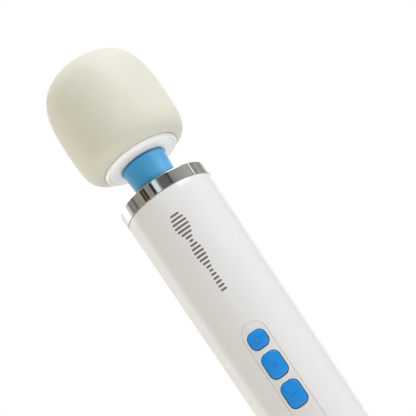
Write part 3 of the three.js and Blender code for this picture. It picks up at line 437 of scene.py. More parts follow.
def moulded_plastic(name, colour, gloss, grain=0.004 * MM, tint=0.985):
    """Moulded plastic: faint clouding, a slow sink in its gloss and fine orange peel."""
    surface = Surface(name, IOR=1.5)
    cloud = surface.noise(18 * MM, 3)
    surface.colour(surface.mapped(cloud, 0, 1), [c * tint for c in colour], colour)
    surface.roughness(surface.noise(5 * MM, 4), gloss, gloss + 0.05)
    surface.bump(surface.noise(0.9 * MM, 1), grain)
    return surface.material


def silicone(name, subsurface, radius, sheen, sheen_roughness):
    """A soft skin that light sinks into a little."""
    return Surface(
        name, IOR=1.42, Subsurface_Weight=subsurface, Subsurface_Radius=radius,
        Subsurface_Scale=2.5 * MM, Sheen_Weight=sheen, Sheen_Roughness=sheen_roughness,
    )


def matt_grain(surface, roughness, size, depth):
    """The finish of both silicones: matt, with a fine grain over slow waves."""
    surface.roughness(surface.noise(2.5 * MM, 3), roughness, roughness + 0.1)
    surface.bump(surface.noise(size, 2), depth)
    surface.bump(surface.noise(7 * MM, 1), 0.03 * MM)
    return surface.material


def head_skin(colour, darker):
    """The head's silicone, faintly clouded."""
    surface = silicone("head_silicone_cream", 0.25, (1.0, 0.8, 0.5), 0.15, 0.4)
    surface.colour(surface.mapped(surface.noise(9 * MM, 5), 0, 1), darker, colour)
    return matt_grain(surface, 0.5, 0.5 * MM, 0.012 * MM)


def boot_skin(colour, painted_shade):
    """The boot's silicone, with painted shade: deeper blue low down where the ring shades it, and
    dark in its top lip and the gap under the head.
    """
    surface = silicone("neck_silicone_blue_painted_shade", 0.08, (0.3, 0.6, 1.0), 0.55, 0.35)
    # Painted shade: the colour darkens towards the ring and goes dark navy in the lip and gap under
    # the head base.
    shade_low, shade_high = RING_TOP_Z + 3.2 * MM, RING_TOP_Z + 7.5 * MM
    gap_shade_low, gap_shade_high = BOOT_TOP_Z - 1.35 * MM, BOOT_TOP_Z - 1.05 * MM
    height = surface.node("ShaderNodeSeparateXYZ", [("Vector", surface.coordinates)]).outputs["Z"]
    # Painted shade low down, fading out upwards from near the ring.
    foot = surface.mapped(height, 0.25, 1, shade_low, shade_high)
    # Painted shade in the top lip and the gap under the head.
    gap_shade = surface.mapped(height, 1, 0, gap_shade_low, gap_shade_high)
    lit = calculate(surface.tree, "MINIMUM", foot, gap_shade)
    cloud = surface.mapped(surface.noise(9 * MM, 5), 0.9, 1)
    surface.colour(calculate(surface.tree, "MULTIPLY", lit, cloud), painted_shade, colour)
    return matt_grain(surface, 0.42, 0.45 * MM, 0.008 * MM)


def metal(name, colour, smoothest, roughest, stretch=None, grain=0.0008 * MM, size=0.6 * MM):
    """Metal with fine lines or speckle in its finish."""
    surface = Surface(name, Metallic=1.0)
    lines = surface.noise(size, 3, stretch)
    surface.colour(surface.mapped(lines, 0, 1), [c * 0.93 for c in colour], colour)
    surface.roughness(lines, smoothest, roughest)
    surface.bump(lines, grain)
    return surface.material


def rough_part(name, colour, darker, roughness=0.55, size=0.8 * MM, grain=0.01 * MM):
    """Glass-filled plastic, ferrite or rubber: speckled and matt."""
    surface = Surface(name, IOR=1.48)
    speckle = surface.noise(size, 4)
    surface.colour(surface.mapped(speckle, 0, 1), darker, colour)
    surface.roughness(speckle, roughness - 0.06, roughness + 0.08)
    surface.bump(speckle, grain)
    return surface.material


def wound(name, colour, darker, pitch):
    """Copper windings: fine turns across the noise of the enamel."""
    wave_length = 6.28
    surface = Surface(name, Metallic=1.0)
    wave = surface.node("ShaderNodeTexWave", [
        ("Vector", surface.coordinates), ("Scale", 1 / (pitch * wave_length)), ("Distortion", 1.5),
    ], wave_type="BANDS", bands_direction="Z").outputs["Fac"]
    surface.colour(wave, darker, colour)
    surface.roughness(surface.noise(1 * MM, 2), 0.28, 0.4)
    surface.bump(wave, 0.08 * MM)
    return surface.material


def board_material():
    """Green solder mask with paler tracks."""
    cells_per_metre = 420
    surface = Surface("circuit_board_green", IOR=1.5)
    cells = surface.node("ShaderNodeTexVoronoi", [
        ("Vector", surface.coordinates), ("Scale", cells_per_metre),
    ], feature="DISTANCE_TO_EDGE", distance="CHEBYCHEV").outputs["Distance"]
    track = surface.mapped(cells, 0, 1, 0.05, 0.09)
    surface.colour(track, (0.06, 0.26, 0.11), (0.02, 0.12, 0.05))
    surface.roughness(surface.noise(2 * MM), 0.3, 0.42)
    surface.bump(track, -0.02 * MM)
    return surface.material


MATERIALS = {
    "casing_white": moulded_plastic("casing_white_gloss", (0.83, 0.82, 0.81), 0.16),
    "head_base_white": moulded_plastic("head_base_white_gloss", (0.87, 0.85, 0.82), 0.14),
    "panel_white": moulded_plastic("panel_white_satin", (0.80, 0.79, 0.785), 0.22, 0.007 * MM),
    "button_blue": moulded_plastic(
        "button_blue_satin", (0.006, 0.29, 0.82), 0.3, 0.012 * MM, tint=0.9,
    ),
    "head_silicone": head_skin((0.76, 0.745, 0.635), (0.735, 0.72, 0.61)),
    # The boot's second colour is its painted shade, used near the ring and in the lip and gap under
    # the head.
    "neck_blue": boot_skin((0.06, 0.355, 0.655), (0.015, 0.06, 0.16)),
    "chrome_trim": metal("chrome_plating", (0.74, 0.75, 0.75), 0.03, 0.06, size=3 * MM, grain=0),
    "screw_steel": metal("zinc_plated_steel", (0.62, 0.63, 0.64), 0.25, 0.4),
    "spring_steel": metal("ground_steel", (0.56, 0.57, 0.58), 0.25, 0.4, (1, 1, 12)),
    "motor_steel": metal("rolled_steel", (0.50, 0.50, 0.51), 0.32, 0.5, (1, 1, 8)),
    "bronze": metal("sintered_bronze", (0.55, 0.38, 0.17), 0.4, 0.6),
    "copper": wound("enamelled_copper", (0.62, 0.27, 0.12), (0.34, 0.12, 0.05), 0.35 * MM),
    "inner_plastic": rough_part("glass_filled_plastic", (0.13, 0.13, 0.135), (0.09, 0.09, 0.095)),
    "electronics_black": rough_part(
        "component_black", (0.035, 0.035, 0.036), (0.02, 0.02, 0.021), 0.4,
    ),
    "ferrite": rough_part("ferrite_grey", (0.07, 0.07, 0.075), (0.035, 0.035, 0.04), 0.6),
    "mount_rubber": rough_part("black_rubber", (0.035, 0.035, 0.034), (0.018, 0.018, 0.018), 0.7),
    "lead_red": rough_part("lead_insulation_red", (0.5, 0.03, 0.02), (0.4, 0.02, 0.015), 0.45),
    "lead_black": rough_part(
        "lead_insulation_black", (0.03, 0.03, 0.03), (0.018, 0.018, 0.018), 0.45,
    ),
    "board_green": board_material(),
}
PRINT_GREY = moulded_plastic("printed_grey_ink", (0.17, 0.155, 0.145), 0.4, 0.004 * MM, tint=0.9)


def fit(piece, slot, body=None, replaces=(), material=None):
    """Gives a piece its material and slot, its body if it rides, and what it stands for."""
    piece.data.materials.clear()
    piece.data.materials.append(material or MATERIALS[slot])
    if body:
        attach(piece, body)
    if replaces:
        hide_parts(*replaces)
    return piece


# ---------------- head

# The moulding dimple's place round the cover ring, in degrees from the front.
DIMPLE_ANGLE = 52


def head_outline(steps=40):
    """The head's outer outline, from the lower lip to the top of the dome."""
    belly_z = HEAD_SPLIT_Z + 21 * MM
    lower = bezier(
        (HEAD_BASE_RADIUS, HEAD_SPLIT_Z), (HEAD_RADIUS - 0.4 * MM, HEAD_SPLIT_Z + 1 * MM),
        (HEAD_RADIUS - 0.3 * MM, belly_z - 13 * MM), (HEAD_RADIUS, belly_z), steps,
    )
    upper = bezier(
        (HEAD_RADIUS, belly_z), (HEAD_RADIUS, HEAD_TOP_Z - 17 * MM),
        (HEAD_RADIUS, HEAD_TOP_Z), (0, HEAD_TOP_Z), steps,
    )
    return lower + upper[1:]


def inset(outline, distance):
    """An outline moved inwards at right angles to itself, still ending on the axis."""
    moved = []
    for i, (r, z) in enumerate(outline):
        before = outline[max(i - 1, 0)]
        after = outline[min(i + 1, len(outline) - 1)]
        along = Vector(after) - Vector(before)
        along.normalize()
        moved.append((max(r - distance * along.y, 0), z + distance * along.x))
    moved[-1] = (0, outline[-1][1] - distance)
    return moved


def build_head():
    """The silicone cap, the base that closes it, the base's screws and the ring over them."""
    outer = head_outline()
    inner = inset(outer, HEAD_CAP_WALL)
    lip = [
        (HEAD_BASE_RADIUS - 0.12 * MM, HEAD_SPLIT_Z + 0.45 * MM),
        (HEAD_BASE_RADIUS - 0.02 * MM, HEAD_SPLIT_Z + 0.12 * MM),
    ]
    cap = revolve("head_cap_silicone", inner[::-1] + lip + outer[1:], closed=False)
    fit(cap, "head_silicone", "head", ["head_cap"])

    bore = 5 * MM
    stub = NECK_TOP_RADIUS - NECK_WALL - 0.1 * MM
    stub_inner = stub - 1.6 * MM
    stub_end = HEAD_BASE_Z - 7 * MM
    wall_inner = HEAD_BASE_RADIUS - 2.3 * MM
    seat = HEAD_SPLIT_Z + 0.15 * MM
    slip = 0.1 * MM
    cover_inner = low_radius("head_base_cover")
    flat = high("head_base_cover").x
    recess = HEAD_BASE_Z + 1.05 * MM
    top = HEAD_BASE_Z + 4 * MM
    gap = 0.18 * MM
    base = revolve("head_base_plate", rounded([
        (bore, HEAD_BASE_Z, 0),
        (stub_inner, HEAD_BASE_Z, 0),
        (stub_inner, stub_end, 0),
        (stub, stub_end, 0),
        (stub, HEAD_BASE_Z, 0),
        (cover_inner - slip, HEAD_BASE_Z, 0),
        (cover_inner - slip, recess, 0),
        (flat + slip, recess, 0),
        (flat + slip, HEAD_BASE_Z + 0.05 * MM, 0.3 * MM),
        (HEAD_BASE_RADIUS - 0.6 * MM, HEAD_BASE_Z + 0.3 * MM, 0.6 * MM),
        (HEAD_BASE_RADIUS - gap, HEAD_SPLIT_Z - 0.3 * MM, 0.5 * MM),
        (HEAD_BASE_RADIUS - gap, HEAD_SPLIT_Z + 0.1 * MM, 0.15 * MM),
        (HEAD_BASE_RADIUS - 0.7 * MM, seat, 0),
        (wall_inner, seat, 0),
        (wall_inner, top, 0),
        (bore, top, 0),
    ]))
    screws = nodes_named("head_screw_")
    wells = []
    for node in screws:
        centre = centre_of(node)
        well = rod("well", half_width(node) + 0.3 * MM, HEAD_BASE_Z, HEAD_BASE_Z + 2.5 * MM)
        wells.append(shifted(well, centre.x, centre.y))
    carve(base, wells)
    weigh_normals(base)
    fit(base, "head_base_white", "head", ["head_base"])
    for node in screws:
        build_head_screw(node)
    build_head_cover(cover_inner, flat)


def low_radius(node):
    """The inner radius of a round CAD node: its vertex nearest the wand's axis."""
    mesh = frame["nodes"][node].data
    return min(math.hypot(v.co.x, v.co.y) for v in mesh.vertices)


def build_head_cover(inner, outer):
    """The glossy ring over the head's screws, with one small moulding dimple."""
    top = HEAD_BASE_Z + 1 * MM
    cover = revolve("head_base_cover_ring", rounded([
        (inner, HEAD_BASE_Z, 0.1 * MM), (outer, HEAD_BASE_Z, 0.3 * MM),
        (outer, top, 0), (inner, top, 0),
    ]))
    mouth, bottom = 0.45 * MM, HEAD_BASE_Z + 0.2 * MM
    dimple = turning("dimple", [
        (0, HEAD_BASE_Z - 1 * MM), (mouth, HEAD_BASE_Z - 1 * MM),
        (mouth, HEAD_BASE_Z + 0.05 * MM), (0.25 * MM, bottom), (0, bottom),
    ])
    angle = math.radians(DIMPLE_ANGLE)
    reach = (inner + outer) / 2 + 1.2 * MM
    carve(cover, [shifted(dimple, reach * math.sin(angle), -reach * math.cos(angle))])
    weigh_normals(cover)
    fit(cover, "head_base_white", "head", ["head_base_cover"])


def build_head_screw(node):
    """A pan-head screw in the head's underside, with a cross recess."""
    centre = centre_of(node)
    radius = half_width(node)
    thread = 1.3 * MM
    bottom = low(node).z
    seat = bottom + 1.3 * MM
    top = high(node).z
    screw = turning(node + "_fine", rounded([
        (0, bottom, 0), (radius * 0.8, bottom, 0.3 * MM), (radius, bottom + 0.6 * MM, 0.3 * MM),
        (radius, seat, 0), (thread, seat, 0), (thread, top, 0), (0, top, 0),
    ]))
    cut_cross(screw, 2.2 * MM, 0.5 * MM, bottom - 0.5 * MM, bottom + 0.8 * MM, 0.3)
    fit(shifted(screw, centre.x, centre.y), "screw_steel", "head", [node])


def cut_cross(screw, length, width, z0, z1, turn):
    """Cuts a cross recess into a screw's head, turned about its axis by an angle in radians."""
    cuts = []
    for quarter in (0, math.pi / 2):
        bar = box_mesh("slot", length, width, z0, z1)
        bar.rotation_euler.z = quarter + turn
        cuts.append(bar)
    bpy.context.view_layer.update()
    carve(screw, cuts)


def box_mesh(name, length, width, z0, z1):
    """A small box used as a cutter, its long side along X."""
    bm = bmesh.new()
    bmesh.ops.create_cube(bm, size=1)
    for vertex in bm.verts:
        vertex.co = (
            vertex.co.x * length, vertex.co.y * width, z0 + (vertex.co.z + 0.5) * (z1 - z0),
        )
    return to_piece(bm, name)


# ---------------- neck

def neck_radius(z):
    """The boot's outer radius: it flares towards the head."""
    share = max(0.0, (z - RING_TOP_Z) / (BOOT_TOP_Z - RING_TOP_Z))
    return NECK_BOTTOM_RADIUS + (NECK_TOP_RADIUS - NECK_BOTTOM_RADIUS) * share ** 1.7


def boot_length(name, z0, z1, start_corners, end_corners):
    """A length of the boot's tube, between outlines at its two ends."""
    steps = 24
    heights = [z0 + (z1 - z0) * i / steps for i in range(steps + 1)]
    outside = [(neck_radius(z), z) for z in heights]
    inside = [(neck_radius(z) - NECK_WALL, z) for z in reversed(heights)]
    return revolve(name, start_corners + outside + end_corners + inside)


def build_neck():
    """The boot in two lengths, a lower and an upper, meeting in the middle."""
    foot_top = NECK_FOOT_Z + 1.8 * MM
    flange = high("neck_boot").x
    foot = [
        (NECK_BOTTOM_RADIUS - NECK_WALL, NECK_FOOT_Z), (flange, NECK_FOOT_Z), (flange, foot_top),
    ]
    lower = boot_length("neck_boot_lower", foot_top, NECK_MIDDLE_Z, foot, [])
    lip_z = BOOT_TOP_Z - 1.6 * MM
    rim, gap = NECK_TOP_RADIUS + 0.45 * MM, 0.5 * MM
    lip = rounded([
        (neck_radius(lip_z), lip_z + 0.1 * MM, 0),
        (rim, BOOT_TOP_Z - gap - 0.7 * MM, 0.3 * MM),
        (rim, BOOT_TOP_Z - gap, 0.2 * MM),
        (NECK_TOP_RADIUS - 0.7 * MM, BOOT_TOP_Z - gap, 0),
        (NECK_TOP_RADIUS - 0.7 * MM, BOOT_TOP_Z, 0),
        (NECK_TOP_RADIUS - NECK_WALL + 0.05 * MM, BOOT_TOP_Z, 0),
    ])
    upper = boot_length("neck_boot_upper", NECK_MIDDLE_Z, lip_z, [], lip)
    for piece in (lower, upper):
        fit(piece, "neck_blue", replaces=["neck_boot"])
    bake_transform(lower)
    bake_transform(upper)


# ---------------- handle

def build_ring():
    """The polished ring round the top of the handle."""
    inner = low_radius("chrome_ring")
    bottom = low("chrome_ring").z
    ring = revolve("chrome_ring_polished", rounded([
        (inner, bottom, 0.1 * MM),
        (RING_RADIUS, bottom, 0.1 * MM),
        (RING_RADIUS, RING_TOP_Z, 0.28 * MM),
        (inner, RING_TOP_Z, 0.2 * MM),
    ]), RING_ROUND)
    weigh_normals(ring)
    fit(ring, "chrome_trim", "handle", ["chrome_ring"])


def build_top_cap():
    """The domed cap inside the ring that guides the boot."""
    outer = high("top_cap").x
    inner = outer - 2 * MM
    bore = NECK_BOTTOM_RADIUS + 0.3 * MM
    bottom = low("top_cap").z
    plate = bottom + 6 * MM
    top = high("top_cap").z
    cap = revolve("top_cap_smooth", rounded([
        (inner, bottom, 0),
        (outer, bottom, 0),
        (outer, RING_TOP_Z - 0.1 * MM, 0.4 * MM),
        ((outer + bore) / 2, RING_TOP_Z + 1.5 * MM, 8 * MM),
        (bore + 0.9 * MM, top, 0.5 * MM),
        (bore, top - 1 * MM, 0.5 * MM),
        (bore, plate, 0),
        (inner, plate, 0),
    ]))
    weigh_normals(cap)
    fit(cap, "casing_white", "handle", ["top_cap"])


def half_casing(name, side):
    """One half of the casing, side -1 at the front and 1 at the rear, with soft edges."""
    bm = bmesh.new()
    z0, z1 = CAP_SEAM_Z + 0.05 * MM, HANDLE_TOP_Z - PART_GAP
    edge = 0.18 * MM
    bands, columns = 48, 96
    heights = [z0, z0 + 0.3 * edge, z0 + edge]
    heights += [z0 + edge + (z1 - z0 - 2 * edge) * i / bands for i in range(1, bands)]
    heights += [z1 - edge, z1 - 0.3 * edge, z1]
    angles = [math.pi * column / columns for column in range(columns + 1)]
    rows = []
    for z in heights:
        sink = edge_sink(min(z - z0, z1 - z), edge)
        rows.append([casing_point(z, angle, sink, side, edge) for angle in angles])
    for z in (z0, z1):
        rows.append([casing_point(z, angle, HOUSING_WALL, side, 0) for angle in angles])
    loops = [[bm.verts.new(point) for point in row] for row in rows]
    loops[-2:] = loops[:-3:-1]
    for first, second in zip(loops, loops[1:] + loops[:1]):
        for c in range(columns):
            bm.faces.new([first[c], first[c + 1], second[c + 1], second[c]])
    for column in (0, -1):
        bm.faces.new([loop[column] for loop in loops])
    return to_piece(bm, name)


def edge_sink(distance, edge):
    """How far a rounded edge sinks below its face, at a distance from the edge's end."""
    if distance >= edge:
        return 0.0
    return edge - math.sqrt(edge * edge - (edge - distance) ** 2)


def casing_point(z, angle, sink, side, edge):
    """A point on a half casing, rounded towards the parting plane."""
    radius = handle_radius(z) - sink
    height = radius * math.sin(angle)
    if height < edge:
        radius -= edge_sink(max(height, 0), edge)
    return (radius * math.cos(angle), side * max(height, PART_GAP / 2), z)


def panel_outline(grow):
    """The control panel's outline, a bar with round ends, grown by a margin."""
    lo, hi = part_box("control_panel")
    width = hi.x - lo.x
    return rounded_rectangle(
        width, hi.z - lo.z, width / 2, (lo.z + hi.z) / 2, grow, corner_steps=16, side_steps=24,
    )


def button_outline(name, grow):
    """A button's outline, from the box of its CAD node less the hidden flange."""
    lo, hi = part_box(name)
    width = hi.x - lo.x - 2 * BUTTON_FLANGE
    height = hi.z - lo.z - 2 * BUTTON_FLANGE
    return rounded_rectangle(
        width, height, 3.2 * MM, (lo.z + hi.z) / 2, grow, corner_steps=12, side_steps=6,
    )


def quarter_round(steps):
    """Pairs that go from (0, 1) to (1, 0) along a quarter circle, to round an edge with."""
    angles = [math.pi / 2 * step / steps for step in range(steps + 1)]
    return [(1 - math.cos(angle), 1 - math.sin(angle)) for angle in angles]


def rounded_rim(depth, edge, margin):
    """Layers of a cutter whose mouth is flared, so that the hole's rim comes out round."""
    above = 3 * MM
    mouth = margin + edge + 0.02 * MM
    layers = [(mouth, -above), (mouth, -0.001 * MM)]
    for down, across in quarter_round(5)[1:]:
        layers.append((margin + edge * across, edge * down))
    return layers + [(margin, depth)]


def build_front_casing():
    """The front half of the casing, with the panel's recess and the window behind it."""
    shell = half_casing("front_casing", -1)
    recess_depth = PANEL_THICKNESS + 0.1 * MM
    ledge = 1.1 * MM
    recess = layered("recess", panel_outline, rounded_rim(recess_depth, PANEL_EDGE, PANEL_GAP))
    carve(shell, [recess])
    window = layered("window", panel_outline, [(-ledge, 0.5 * MM), (-ledge, 5 * MM)])
    carve(shell, [window])
    true_normals(shell)
    fit(shell, "casing_white", "handle", ["front_housing"])


def build_rear_casing():
    """The rear half of the casing, with its four screws in their wells."""
    shell = half_casing("rear_casing", 1)
    for node in nodes_named("housing_screw_"):
        build_screw_well(shell, node)
    true_normals(shell)
    fit(shell, "casing_white", "handle", ["rear_housing"])


def build_screw_well(shell, node):
    """Adds a tube for a housing screw inside the rear casing, and opens its well."""
    centre = centre_of(node)
    head = half_width(node)
    seat = high(node).y - 1.8 * MM
    outside = math.sqrt(handle_radius(centre.z) ** 2 - centre.x ** 2)
    mouth = outside + 9 * MM
    bore = head + 0.3 * MM
    tube = rod("tube", bore + 1.1 * MM, PART_GAP, outside - HOUSING_WALL * 0.6)
    carve(shell, [turned_to_y(tube, centre.x, centre.z)], "UNION")
    if abs(centre.x) < MM:
        flare = 0.35 * MM
        rim = [(bore, outside - flare, 0.3 * MM), (bore + flare, outside - 0.02 * MM, 0)]
    else:
        flare = 0
        rim = [(bore, outside, 0)]
    well = turning("well", rounded([
        (0, seat, 0), (bore, seat, 0), *rim, (bore + flare, mouth, 0), (0, mouth, 0),
    ]))
    hole = rod("hole", 1.6 * MM, -1 * MM, seat + MM)
    carve(shell, [turned_to_y(cutter, centre.x, centre.z) for cutter in (well, hole)])
    build_housing_screw(node, centre, head, seat)


def build_housing_screw(node, centre, head, seat):
    """A pan-head screw with a cross recess, seen down its well from behind."""
    thread = 1.3 * MM
    top = high(node).y
    tip = low(node).y
    screw = turning(node + "_fine", rounded([
        (0, tip, 0), (thread, tip, 0), (thread, seat, 0), (head, seat, 0.1 * MM),
        (head, seat + 0.9 * MM, 0.5 * MM), (head * 0.55, top, 0.9 * MM), (0, top, 0),
    ]))
    cut_cross(screw, 3 * MM, 0.65 * MM, top - 1 * MM, top + MM, 0.4)
    fit(turned_to_y(screw, centre.x, centre.z), "screw_steel", "handle", [node])


def build_end_cap():
    """The rounded lower end, with the power inlet's well in its base."""
    inlet = 6.5 * MM
    wall = 2.2 * MM
    jack_hole = 4.1 * MM
    well_top = BASE_Z + 8 * MM
    spigot = high("end_cap").z
    inner = handle_radius(CAP_SEAM_Z) - HOUSING_WALL - 0.1 * MM
    base_radius = handle_radius(BASE_Z)
    seam = CAP_SEAM_Z - PART_GAP
    cap = revolve("end_cap_smooth", rounded([
        (inlet, BASE_Z, 0.5 * MM),
        (base_radius, BASE_Z, BASE_ROUND),
        (handle_radius(seam), seam, 0.2 * MM),
        (inner, seam, 0),
        (inner, spigot, 0),
        (inner - wall, spigot, 0),
        (base_radius - BASE_ROUND, BASE_Z + BASE_ROUND, 0),
        (inlet + wall, BASE_Z + wall, 0),
        (inlet + wall, well_top + wall, 0),
        (jack_hole, well_top + wall, 0),
        (jack_hole, well_top, 0),
        (inlet, well_top, 0.3 * MM),
    ], steps=10))
    weigh_normals(cap)
    fit(cap, "casing_white", "handle", ["end_cap"])


# ---------------- controls

BUTTONS = ("button_power", "button_plus", "button_minus")


def build_panel():
    """The panel's strip, flush with the casing, with a round-rimmed hole for each button."""
    layers = [(0, PANEL_THICKNESS)]
    for across, down in quarter_round(5):
        layers.append((-PANEL_EDGE * across, PANEL_EDGE * down))
    half = half_width("control_panel")
    layers += [(-half * share, 0) for share in (0.12, 0.25, 0.4, 0.55, 0.7, 0.85, 0.97)]
    panel = layered("control_panel_strip", panel_outline, layers)
    for name in BUTTONS:
        hole = layered(
            "hole", lambda grow, name=name: button_outline(name, grow),
            rounded_rim(4 * MM, PANEL_EDGE, BUTTON_GAP),
        )
        carve(panel, [hole])
    true_normals(panel)
    fit(panel, "panel_white", "handle", ["control_panel"])


def build_button(name):
    """A pillowed cap with a soft edge, and its icon sunk in the face."""
    proud, crown, edge = 0.35 * MM, 0.25 * MM, 0.7 * MM
    flange_back, flange_front = 3.3 * MM, 2.9 * MM
    half = half_width(name) - BUTTON_FLANGE
    centre_z = (low(name).z + high(name).z) / 2
    layers = [(BUTTON_FLANGE, flange_back), (BUTTON_FLANGE, flange_front), (0, flange_front)]
    for across, down in quarter_round(6):
        layers.append((-edge * across, edge * down - proud))
    for share in (0.3, 0.45, 0.6, 0.75, 0.9, 0.985):
        rise = crown * (1 - ((1 - share) / (1 - edge / half)) ** 2)
        layers.append((-half * share, -proud - rise))
    cap = layered(name + "_cap", lambda grow: button_outline(name, grow), layers)
    stem = rod("stem", 2 * MM, -19 * MM, high(name).y)
    carve(cap, [turned_to_y(stem, 0, centre_z)], "UNION")
    carve(cap, icon_cutters(name, centre_z, proud + crown))
    weigh_normals(cap)
    fit(cap, "button_blue", name, [name])


def bar_cutter(z, length, width, angle, rise):
    """A groove with round ends, cut into a button's face."""
    depth = 0.3 * MM

    def outline(grow):
        points = rounded_rectangle(length, width, width / 2, 0, grow, corner_steps=6)
        turned = (math.cos(angle), math.sin(angle))
        return [
            (px * turned[0] - pz * turned[1], z + px * turned[1] + pz * turned[0])
            for px, pz in points
        ]

    bevel = 0.1 * MM
    return layered("groove", outline, [
        (bevel, -rise - 0.4 * MM), (bevel, -rise), (0, -rise + bevel), (-bevel, -rise + depth),
    ])


def ring_cutter(z, radius, width, rise):
    """The power icon's groove: a ring with a gap at its top."""
    steps = 36
    half_gap = 0.75
    half, front, back = width / 2, -rise - 0.4 * MM, -rise + 0.2 * MM
    section = [(-half, front), (half, front), (half, back), (-half, back)]
    bm = bmesh.new()
    loops = []
    for step in range(steps + 1):
        angle = math.pi / 2 + half_gap + (2 * math.pi - 2 * half_gap) * step / steps
        loops.append([
            bm.verts.new(on_casing(
                (radius + across) * math.cos(angle), z + (radius + across) * math.sin(angle), depth,
            )) for across, depth in section
        ])
    close_body(bm, loops)
    return to_piece(bm, "groove")


def icon_cutters(name, z, rise):
    """The grooves of a power, plus or minus icon."""
    length, width = 3.4 * MM, 0.55 * MM
    upright = math.pi / 2
    if name == "button_power":
        return [
            ring_cutter(z - 0.1 * MM, 1.6 * MM, width, rise),
            bar_cutter(z + 1.3 * MM, 1.9 * MM, width, upright, rise),
        ]
    angles = (0, upright) if name == "button_plus" else (0,)
    return [bar_cutter(z, length, width, angle, rise) for angle in angles]


def build_ornament():
    """A printed row of thin bars whose lengths swell and fade, in place of a mark."""
    count = 21
    length = 43 * MM
    shortest, widening, thickness = 2.0 * MM, 6.2 * MM, 1.05 * MM
    top = HANDLE_TOP_Z - 13.5 * MM
    bm = bmesh.new()
    for i in range(count):
        share = i / (count - 1)
        swell = abs(math.sin(math.pi * 2.5 * share + 0.45)) * (0.6 + 0.4 * math.cos(math.pi * share))
        printed_bar(bm, top - length * share, shortest + widening * swell, thickness)
    fit(to_piece(bm, "printed_ornament"), "electronics_black", "handle", material=PRINT_GREY)


def printed_bar(bm, z, width, thickness):
    """A bar of ink with round ends, wrapped on the casing."""
    steps = 16
    half, ink = width / 2, 0.03 * MM
    loops = []
    for step in range(steps + 1):
        x = -half * math.cos(math.pi * step / steps)
        over = max(abs(x) - (half - thickness / 2), 0)
        rise = max(math.sqrt(max((thickness / 2) ** 2 - over * over, 0)), 0.02 * MM)
        loops.append([
            bm.verts.new(on_casing(x, z + up, depth))
            for up, depth in ((rise, -ink), (rise, ink), (-rise, ink), (-rise, -ink))
        ])
    close_body(bm, loops)


def build_inlet():
    """The power inlet: a barrel with a bore and a centre pin, in the base's well."""
    lo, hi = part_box("dc_jack")
    bore, barrel, pin = 2.9 * MM, 4 * MM, 1.05 * MM
    pin_tip, bore_end = lo.z + 1 * MM, lo.z + 10 * MM
    jack = revolve("power_inlet_jack", rounded([
        (0, pin_tip, 0), (pin * 0.8, pin_tip, 0), (pin, pin_tip + 0.4 * MM, 0),
        (pin, bore_end, 0), (bore, bore_end, 0), (bore, lo.z, 0.3 * MM),
        (barrel, lo.z, 0.3 * MM), (barrel, hi.z, 0), (0, hi.z, 0),
    ]), INLET_ROUND, closed=False)
    fit(jack, "electronics_black", "handle", ["dc_jack"])


# ---------------- inner bent pieces

def tube_mesh(name, path, radius, sides=10):
    """A closed round wire along a list of points."""
    bm = bmesh.new()
    loops = []
    for i, point in enumerate(path):
        along = (path[min(i + 1, len(path) - 1)] - path[max(i - 1, 0)]).normalized()
        out = along.cross(Vector((0, 0, 1)))
        if out.length < 1e-4:
            out = Vector((1, 0, 0))
        out.normalize()
        up = out.cross(along)
        loops.append([
            bm.verts.new(point + radius * (math.cos(a) * out + math.sin(a) * up))
            for a in (2 * math.pi * k / sides for k in range(sides))
        ])
    close_body(bm, loops)
    return to_piece(bm, name)


def build_neck_core():
    """The neck spring and the flexible shaft, each split where the neck's joints meet."""
    lo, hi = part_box("neck_spring")
    wire = 0.9 * MM
    coil = (hi.x - lo.x) / 2 - wire
    turns = 6

    def helix(z):
        angle = 2 * math.pi * turns * (z - lo.z - wire) / (hi.z - lo.z - 2 * wire)
        return Vector((coil * math.cos(angle), coil * math.sin(angle), z))

    middle = (0, 0, NECK_MIDDLE_Z)
    spans = (
        ("lower", lo.z + wire, NECK_MIDDLE_Z, "handle", "neck", (0, 0, RING_TOP_Z), middle),
        ("upper", NECK_MIDDLE_Z, hi.z - wire, "neck", "head", middle, (0, 0, BOOT_TOP_Z)),
    )
    steps = 120
    for part, z0, z1, first, second, start, end in spans:
        path = [helix(z0 + (z1 - z0) * i / steps) for i in range(steps + 1)]
        spring = tube_mesh("neck_spring_" + part, path, wire)
        fit(spring, "spring_steel", replaces=["neck_spring"])
        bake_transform(spring)

    shaft_lo, shaft_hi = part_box("flex_shaft")
    radius = shaft_hi.x
    lengths = (
        ("flex_shaft_driven", shaft_lo.z, RING_TOP_Z, "drive"),
        ("flex_shaft_lower", RING_TOP_Z, NECK_MIDDLE_Z, spans[0]),
        ("flex_shaft_upper", NECK_MIDDLE_Z, HEAD_BASE_Z, spans[1]),
        ("flex_shaft_driving", HEAD_BASE_Z, shaft_hi.z, "weight"),
    )
    steps, sides = 16, 24
    for name, start_z, end_z, carrier in lengths:
        z0, z1 = start_z + SHAFT_GAP, end_z - SHAFT_GAP
        path = [Vector((0, 0, z0 + (z1 - z0) * i / steps)) for i in range(steps + 1)]
        shaft = tube_mesh(name, path, radius, sides)
        fit(shaft, "spring_steel", replaces=["flex_shaft"])
        if isinstance(carrier, str):
            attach(shaft, carrier)
        else:
            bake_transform(shaft)


def dress_inner_nodes():
    """Gives every CAD node that still shows its slot's procedural material."""
    slots = {row["node"]: row["material_slot"] for row in frame["record"]["subparts"]}
    for name, node in frame["nodes"].items():
        node.data.materials.clear()
        node.data.materials.append(MATERIALS[slots[name]])


# ---------------- light, floor, camera

# The camera's angles are in degrees, and its lens in millimetres.
CAMERA_TURN = 2.2
CAMERA_LIFT = 15.56
CAMERA_ROLL = 34.26
CAMERA_DISTANCE = 0.5463
CAMERA_LENS = 95.2
CAMERA_AIM = Vector((14.2 * MM, 0, 227.54 * MM))


